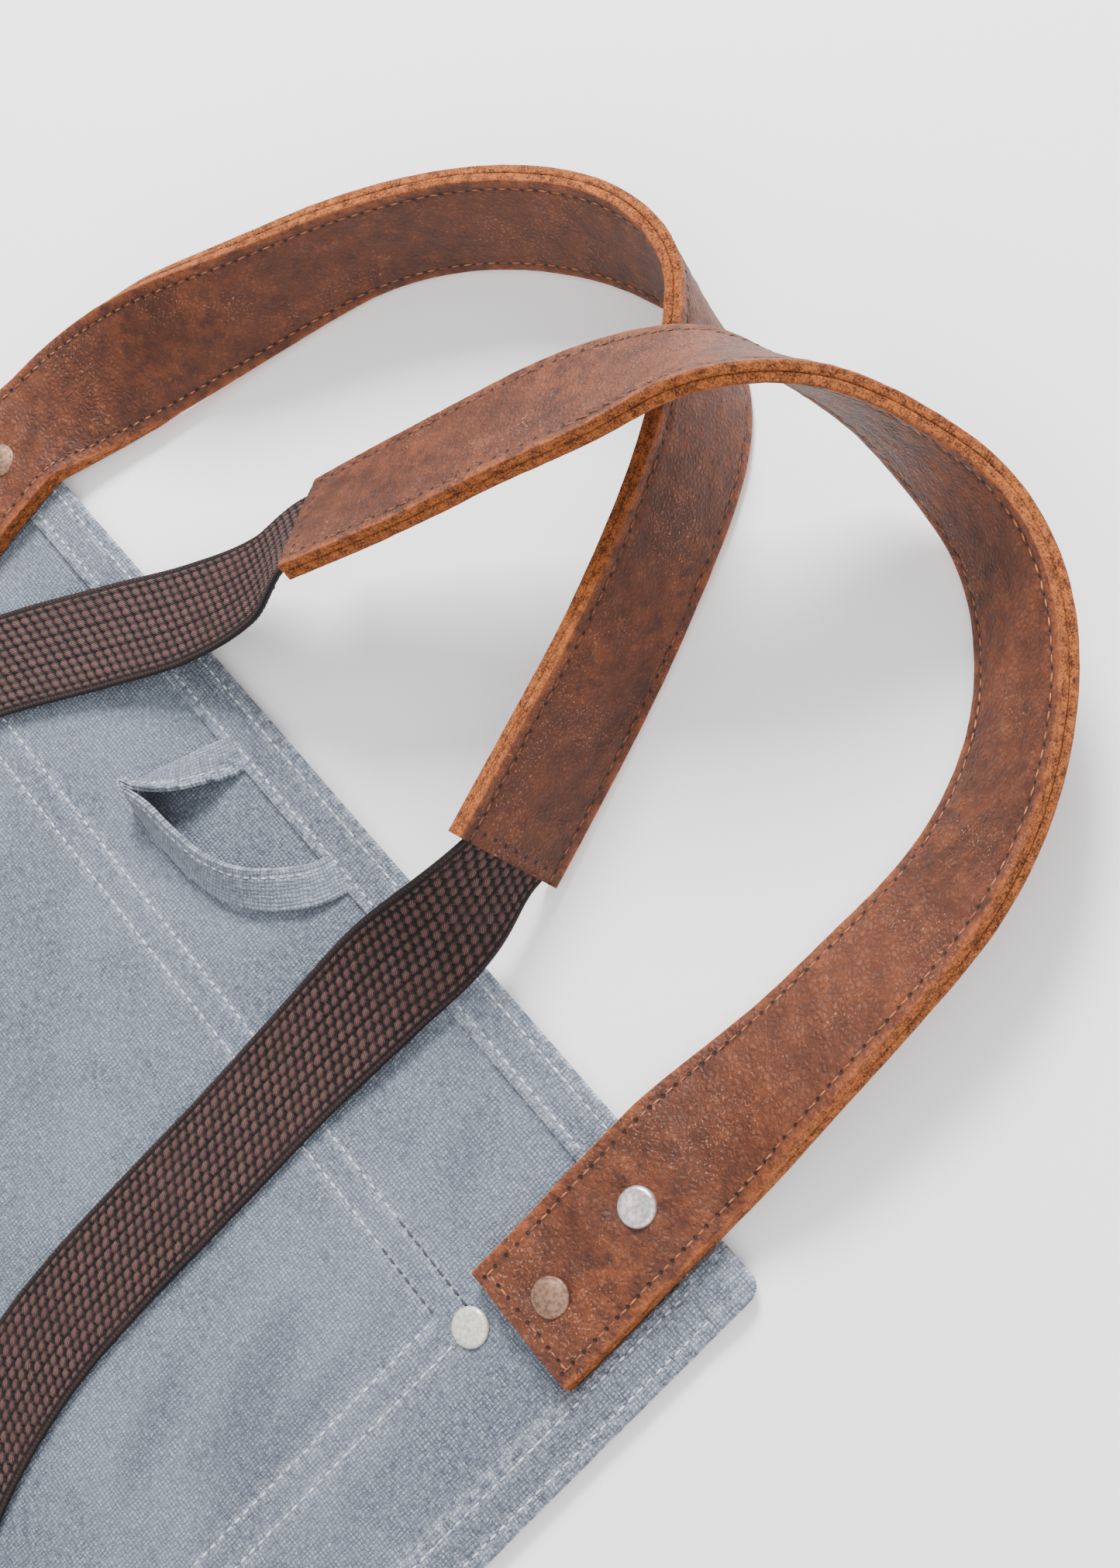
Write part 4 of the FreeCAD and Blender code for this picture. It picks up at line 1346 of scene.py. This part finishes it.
class Head(Enum):
    """Profiles of the rivet heads: radius and height in millimetres, from the middle outwards."""

    DOMED = (
        (0, 1.75), (1.6, 1.7), (3.0, 1.5), (4.1, 1.16),
        (4.55, 0.94), (4.7, 0.96), (5.05, 0.8), (5.3, 0.42), *CAP_RIM,
    )
    DISHED = (
        (0, 0.85), (1.0, 0.92), (2.2, 1.2), (3.4, 1.5),
        (4.2, 1.55), (4.8, 1.32), (5.15, 0.9), (5.3, 0.45), *CAP_RIM,
    )
    FLAT = ((0, 1.3), (2.6, 1.32), (3.9, 1.26), (4.7, 1.08), (5.1, 0.76), (5.3, 0.38), *CAP_RIM)
    BASE = (
        (0, 1.05), (0.8, 1.05), (1.1, 1.3), (2.4, 1.33),
        (3.9, 1.2), (4.8, 0.85), (5.3, 0.35), (5.2, 0.0), (4.6, -0.1),
    )


@dataclass(frozen=True)
class RivetSet:
    """Some heads of one finish, which stand for a CAD node of caps or bases."""

    name: str
    node: str
    shade: Shade
    head: Head
    places: tuple[tuple[float, float, float], ...]
    up: int = 1
    steps: int = 40

    def build(self, drawing: Drawing) -> None:
        """Spins every head about its own middle."""
        bm = bmesh.new()
        for number, (x, y, seat) in enumerate(self.places):
            profile = [bm.verts.new((radius * MM, 0.0, height * MM)) for radius, height in self.head.value]
            base = bm.verts.new((0.0, 0.0, self.head.value[-1][1] * MM))
            chain = [bm.edges.new(pair) for pair in zip(profile, profile[1:] + [base])]
            bmesh.ops.spin(
                bm, geom=profile + [base] + chain, cent=(0, 0, 0), axis=(0, 0, 1), angle=math.tau,
                steps=self.steps, use_merge=True,
            )
            mine = [vert for vert in bm.verts if not vert.tag]
            bmesh.ops.remove_doubles(bm, verts=mine, dist=1e-6)
            mine = [vert for vert in bm.verts if not vert.tag]
            lean = math.radians(2.0 if self.up > 0 else 0.0)
            tilt = Matrix.Rotation(lean, 4, (math.cos(number * 2.1), math.sin(number * 2.1), 0))
            flip = Matrix.Diagonal((1, 1, self.up, 1))
            shift = Matrix.Translation(drawing.points(x, y, seat))
            bmesh.ops.transform(bm, matrix=shift @ flip @ tilt, verts=mine)
            for vert in mine:
                vert.tag = True
        bmesh.ops.recalc_face_normals(bm, faces=bm.faces)
        thing = new_object(bm, self.name, self.shade)
        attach(thing, "apron")
        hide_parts(self.node)


def make_rivets(drawing: Drawing) -> None:
    """Builds every rivet's cap and base."""
    corner, panel, tabs = 152.3, 141.5, (299.0, 326.0)
    hips = (70.0, 244.0)
    tab_places = tuple((sign * x, -312.0, 8.4) for sign in (-1, 1) for x in tabs)
    hip_places = tuple((sign * x, -358.0, 3.3) for sign in (-1, 1) for x in hips)
    strap_places = tuple((sign * corner, y, 2.35) for sign in (-1, 1) for y in (-9.0, -41.0))
    for group in (
        RivetSet(
            "strap_rivet_bright_cap", "strap_rivet_caps", Shade.NICKEL, Head.DISHED, ((corner, -9.0, 9.9),)
        ),
        RivetSet(
            "strap_rivet_worn_caps", "strap_rivet_caps", Shade.COPPER, Head.DOMED,
            ((corner, -41.0, 8.7), (-corner, -9.0, 9.9), (-corner, -41.0, 8.7)),
        ),
        RivetSet(
            "panel_rivet_cream_caps", "panel_rivet_caps", Shade.CREAM, Head.FLAT,
            ((panel, -64.0, 3.35), (-panel, -64.0, 3.35)),
        ),
        RivetSet("tab_rivet_worn_caps", "tab_rivet_caps", Shade.COPPER, Head.DOMED, tab_places),
        RivetSet("hip_rivet_cream_caps", "hip_rivet_caps", Shade.CREAM, Head.FLAT, hip_places),
        RivetSet("strap_rivet_worn_bases", "strap_rivet_bases", Shade.COPPER, Head.BASE, strap_places, -1),
        RivetSet(
            "panel_rivet_cream_bases", "panel_rivet_bases", Shade.CREAM, Head.BASE,
            ((panel, -64.0, 1.38), (-panel, -64.0, 1.38)), -1,
        ),
        RivetSet(
            "tab_rivet_worn_bases", "tab_rivet_bases", Shade.COPPER, Head.BASE,
            tuple((x, y, 2.35) for x, y, _ in tab_places), -1,
        ),
        RivetSet(
            "hip_rivet_cream_bases", "hip_rivet_bases", Shade.CREAM, Head.BASE,
            tuple((x, y, 1.38) for x, y, _ in hip_places), -1,
        ),
    ):
        group.build(drawing)
        log.info("%s: %d heads", group.name, len(group.places))


# ---------------------------------------------------------------- routes

STRAP_RIGHT = Route((
    (152.3, -53, 3.5, 0), (152.3, -31, 3.5, 0), (152.3, -17.5, 4.7, 0), (152.3, 5, 4.7, 0),
    (153, 19, 2, 9), (154.5, 36, 0.5, 22), (155, 72, 0.5, 31), (153, 106, 0.5, 38), (140, 137, 0.5, 45),
    (116, 161, 0.5, 51), (88, 171, 4, 66), (57, 168, 24, 95), (31, 149, 43, 132), (8, 118, 42, 150),
    (-14, 84, 32, 150), (-36, 49, 22, 146),
), 38.0, 5.6, 60)
STRAP_LEFT = Route((
    (-152.3, -53, 3.5, 180), (-152.3, -31, 3.5, 180), (-152.3, -17.5, 4.7, 180), (-151.9, 4, 4.7, 180),
    (-147.3, 18, 2, 168), (-137, 38, 0.4, 149), (-116, 76, 0.4, 114), (-91, 121, 0.4, 98),
    (-64, 147, 0.4, 104), (-32, 163, 0.4, 108), (-8, 165, 0.4, 98), (9, 156, 0.4, 82),
    (25, 138, 0.4, 72), (38, 112, 0.4, 73), (49, 84, 0.4, 72), (58, 55, 0.4, 70), (67, 26, 1.5, 69),
), 38.0, 5.6, 60)
ELASTIC_RIGHT = Route((
    (64.6, 33.6, 4.5, 69), (67, 26, 4.9, 69), (66.5, 2, 5.6, 45), (62, -22, 5.4, 20), (59, -50, 4.4, 5),
    (58, -90, 3.7, 0), (57.5, -130, 3.7, 0), (60, -170, 3.7, 0), (74, -216, 3.7, 0), (108, -260, 3.7, 0),
    (165, -294, 3.7, 0), (228, -309, 4, 0), (288, -312, 5.6, 0),
), 32.0, 2.2)
ELASTIC_LEFT = Route((
    (-31.7, 55.8, 26.9, 146), (-36, 49, 25.1, 146), (-46, 27, 15, 160), (-62, 4, 9, 172),
    (-80, -18, 6.2, 178), (-100, -45, 5.1, 180), (-132, -100, 3.7, 180), (-158, -160, 3.7, 180),
    (-182, -218, 3.7, 180), (-211, -268, 3.7, 180), (-246, -302, 4, 180), (-288, -312, 5.6, 180),
), 32.0, 2.2)
LOOP = Route((
    (-23.6, -12.8, 2.6, 179), (-25, -17.5, 3.3, 176), (-27, -22, 3.9, 165), (-31.5, -31, 4.1, 145),
    (-36.5, -38, 4.1, 120), (-39.5, -41.5, 4.1, 100), (-36.5, -44, 4.1, 110), (-29, -43.5, 4.1, 125),
    (-17, -43, 4.1, 132), (-3, -41, 4.1, 138), (9, -36, 4.1, 148), (19, -27, 4, 166),
    (24.8, -18.5, 3.4, 175), (26.6, -12.8, 2.6, 179),
), 12.0, 1.8)


# ---------------------------------------------------------------- stage


@dataclass(frozen=True)
class Stage:
    """Table, light and camera."""

    eye: tuple[float, float, float] = (286.7, 121.0, 498.6)
    right: tuple[float, float, float] = (0.62218, 0.67858, -0.39040)
    up: tuple[float, float, float] = (-0.66167, 0.72234, 0.20105)
    lens: float = 48.24
    sensor: float = 36.0
    table: float = 5.0

    def camera(self, drawing: Drawing) -> None:
        """Places the camera above the bib's corner, looking down and across."""
        data = bpy.data.cameras.new("camera")
        data.sensor_fit = "VERTICAL"
        data.sensor_height = self.sensor
        data.lens = self.lens
        data.clip_start = 0.01
        camera = bpy.data.objects.new("camera", data)
        bpy.context.scene.collection.objects.link(camera)
        right, up = Vector(self.right), Vector(self.up)
        back = right.cross(up)
        turn = Matrix((right, up, back)).transposed().to_4x4()
        camera.matrix_world = Matrix.Translation(drawing.points(*self.eye)) @ turn
        bpy.context.scene.camera = camera

    def lamp(self, name: str, place: Vector, aim: Vector, size: float, energy: float) -> None:
        """Adds one square soft light."""
        data = bpy.data.lights.new(name, "AREA")
        data.shape = "SQUARE"
        data.size = size
        data.energy = energy
        lamp = bpy.data.objects.new(name, data)
        bpy.context.scene.collection.objects.link(lamp)
        turn = (aim - place).to_track_quat("-Z", "Y").to_matrix().to_4x4()
        lamp.matrix_world = Matrix.Translation(place) @ turn

    def build(self, drawing: Drawing) -> None:
        """Builds the table, the lights and the camera."""
        bm = bmesh.new()
        bmesh.ops.create_grid(bm, x_segments=2, y_segments=2, size=self.table / 2)
        self.slab(bm)
        aim = Vector(drawing.points(20.0, 20.0, 0.0))
        self.lamp("key", aim + Vector((-0.75, 0.85, 0.95)), aim, 0.5, 48.0)
        self.lamp("fill", aim + Vector((1.0, -0.5, 1.3)), aim, 1.6, 13.0)
        world = bpy.data.worlds.new("studio")
        world.use_nodes = True
        back = world.node_tree.nodes["Background"]
        back.inputs["Color"].default_value = (1.0, 1.0, 1.0, 1.0)
        back.inputs["Strength"].default_value = 1.0
        bpy.context.scene.world = world
        self.camera(drawing)

    def slab(self, bm: bmesh.types.BMesh) -> bpy.types.Object:
        """The table's top."""
        mesh = bpy.data.meshes.new("table")
        bm.to_mesh(mesh)
        bm.free()
        mesh.materials.append(TableFinish().material())
        table = bpy.data.objects.new("table", mesh)
        bpy.context.scene.collection.objects.link(table)
        return table


def main() -> None:
    """Builds the apron's looks around the frame."""
    logging.basicConfig(level=logging.INFO, format="%(name)s: %(message)s")
    drawing = Drawing.from_frame()
    Stage().build(drawing)
    make_cloth(drawing)
    Strap("right", STRAP_RIGHT, 1).build(drawing)
    Strap("left", STRAP_LEFT, -1).build(drawing)
    Tab("right", 1).build(drawing)
    Tab("left", -1).build(drawing)
    Elastic("elastic_right_band", "elastic_to_right_waist", ELASTIC_RIGHT).build(drawing)
    Elastic("elastic_left_band", "elastic_to_left_waist", ELASTIC_LEFT).build(drawing)
    HangingLoop(LOOP).build(drawing)
    make_rivets(drawing)


if __name__ == "__main__":
    main()
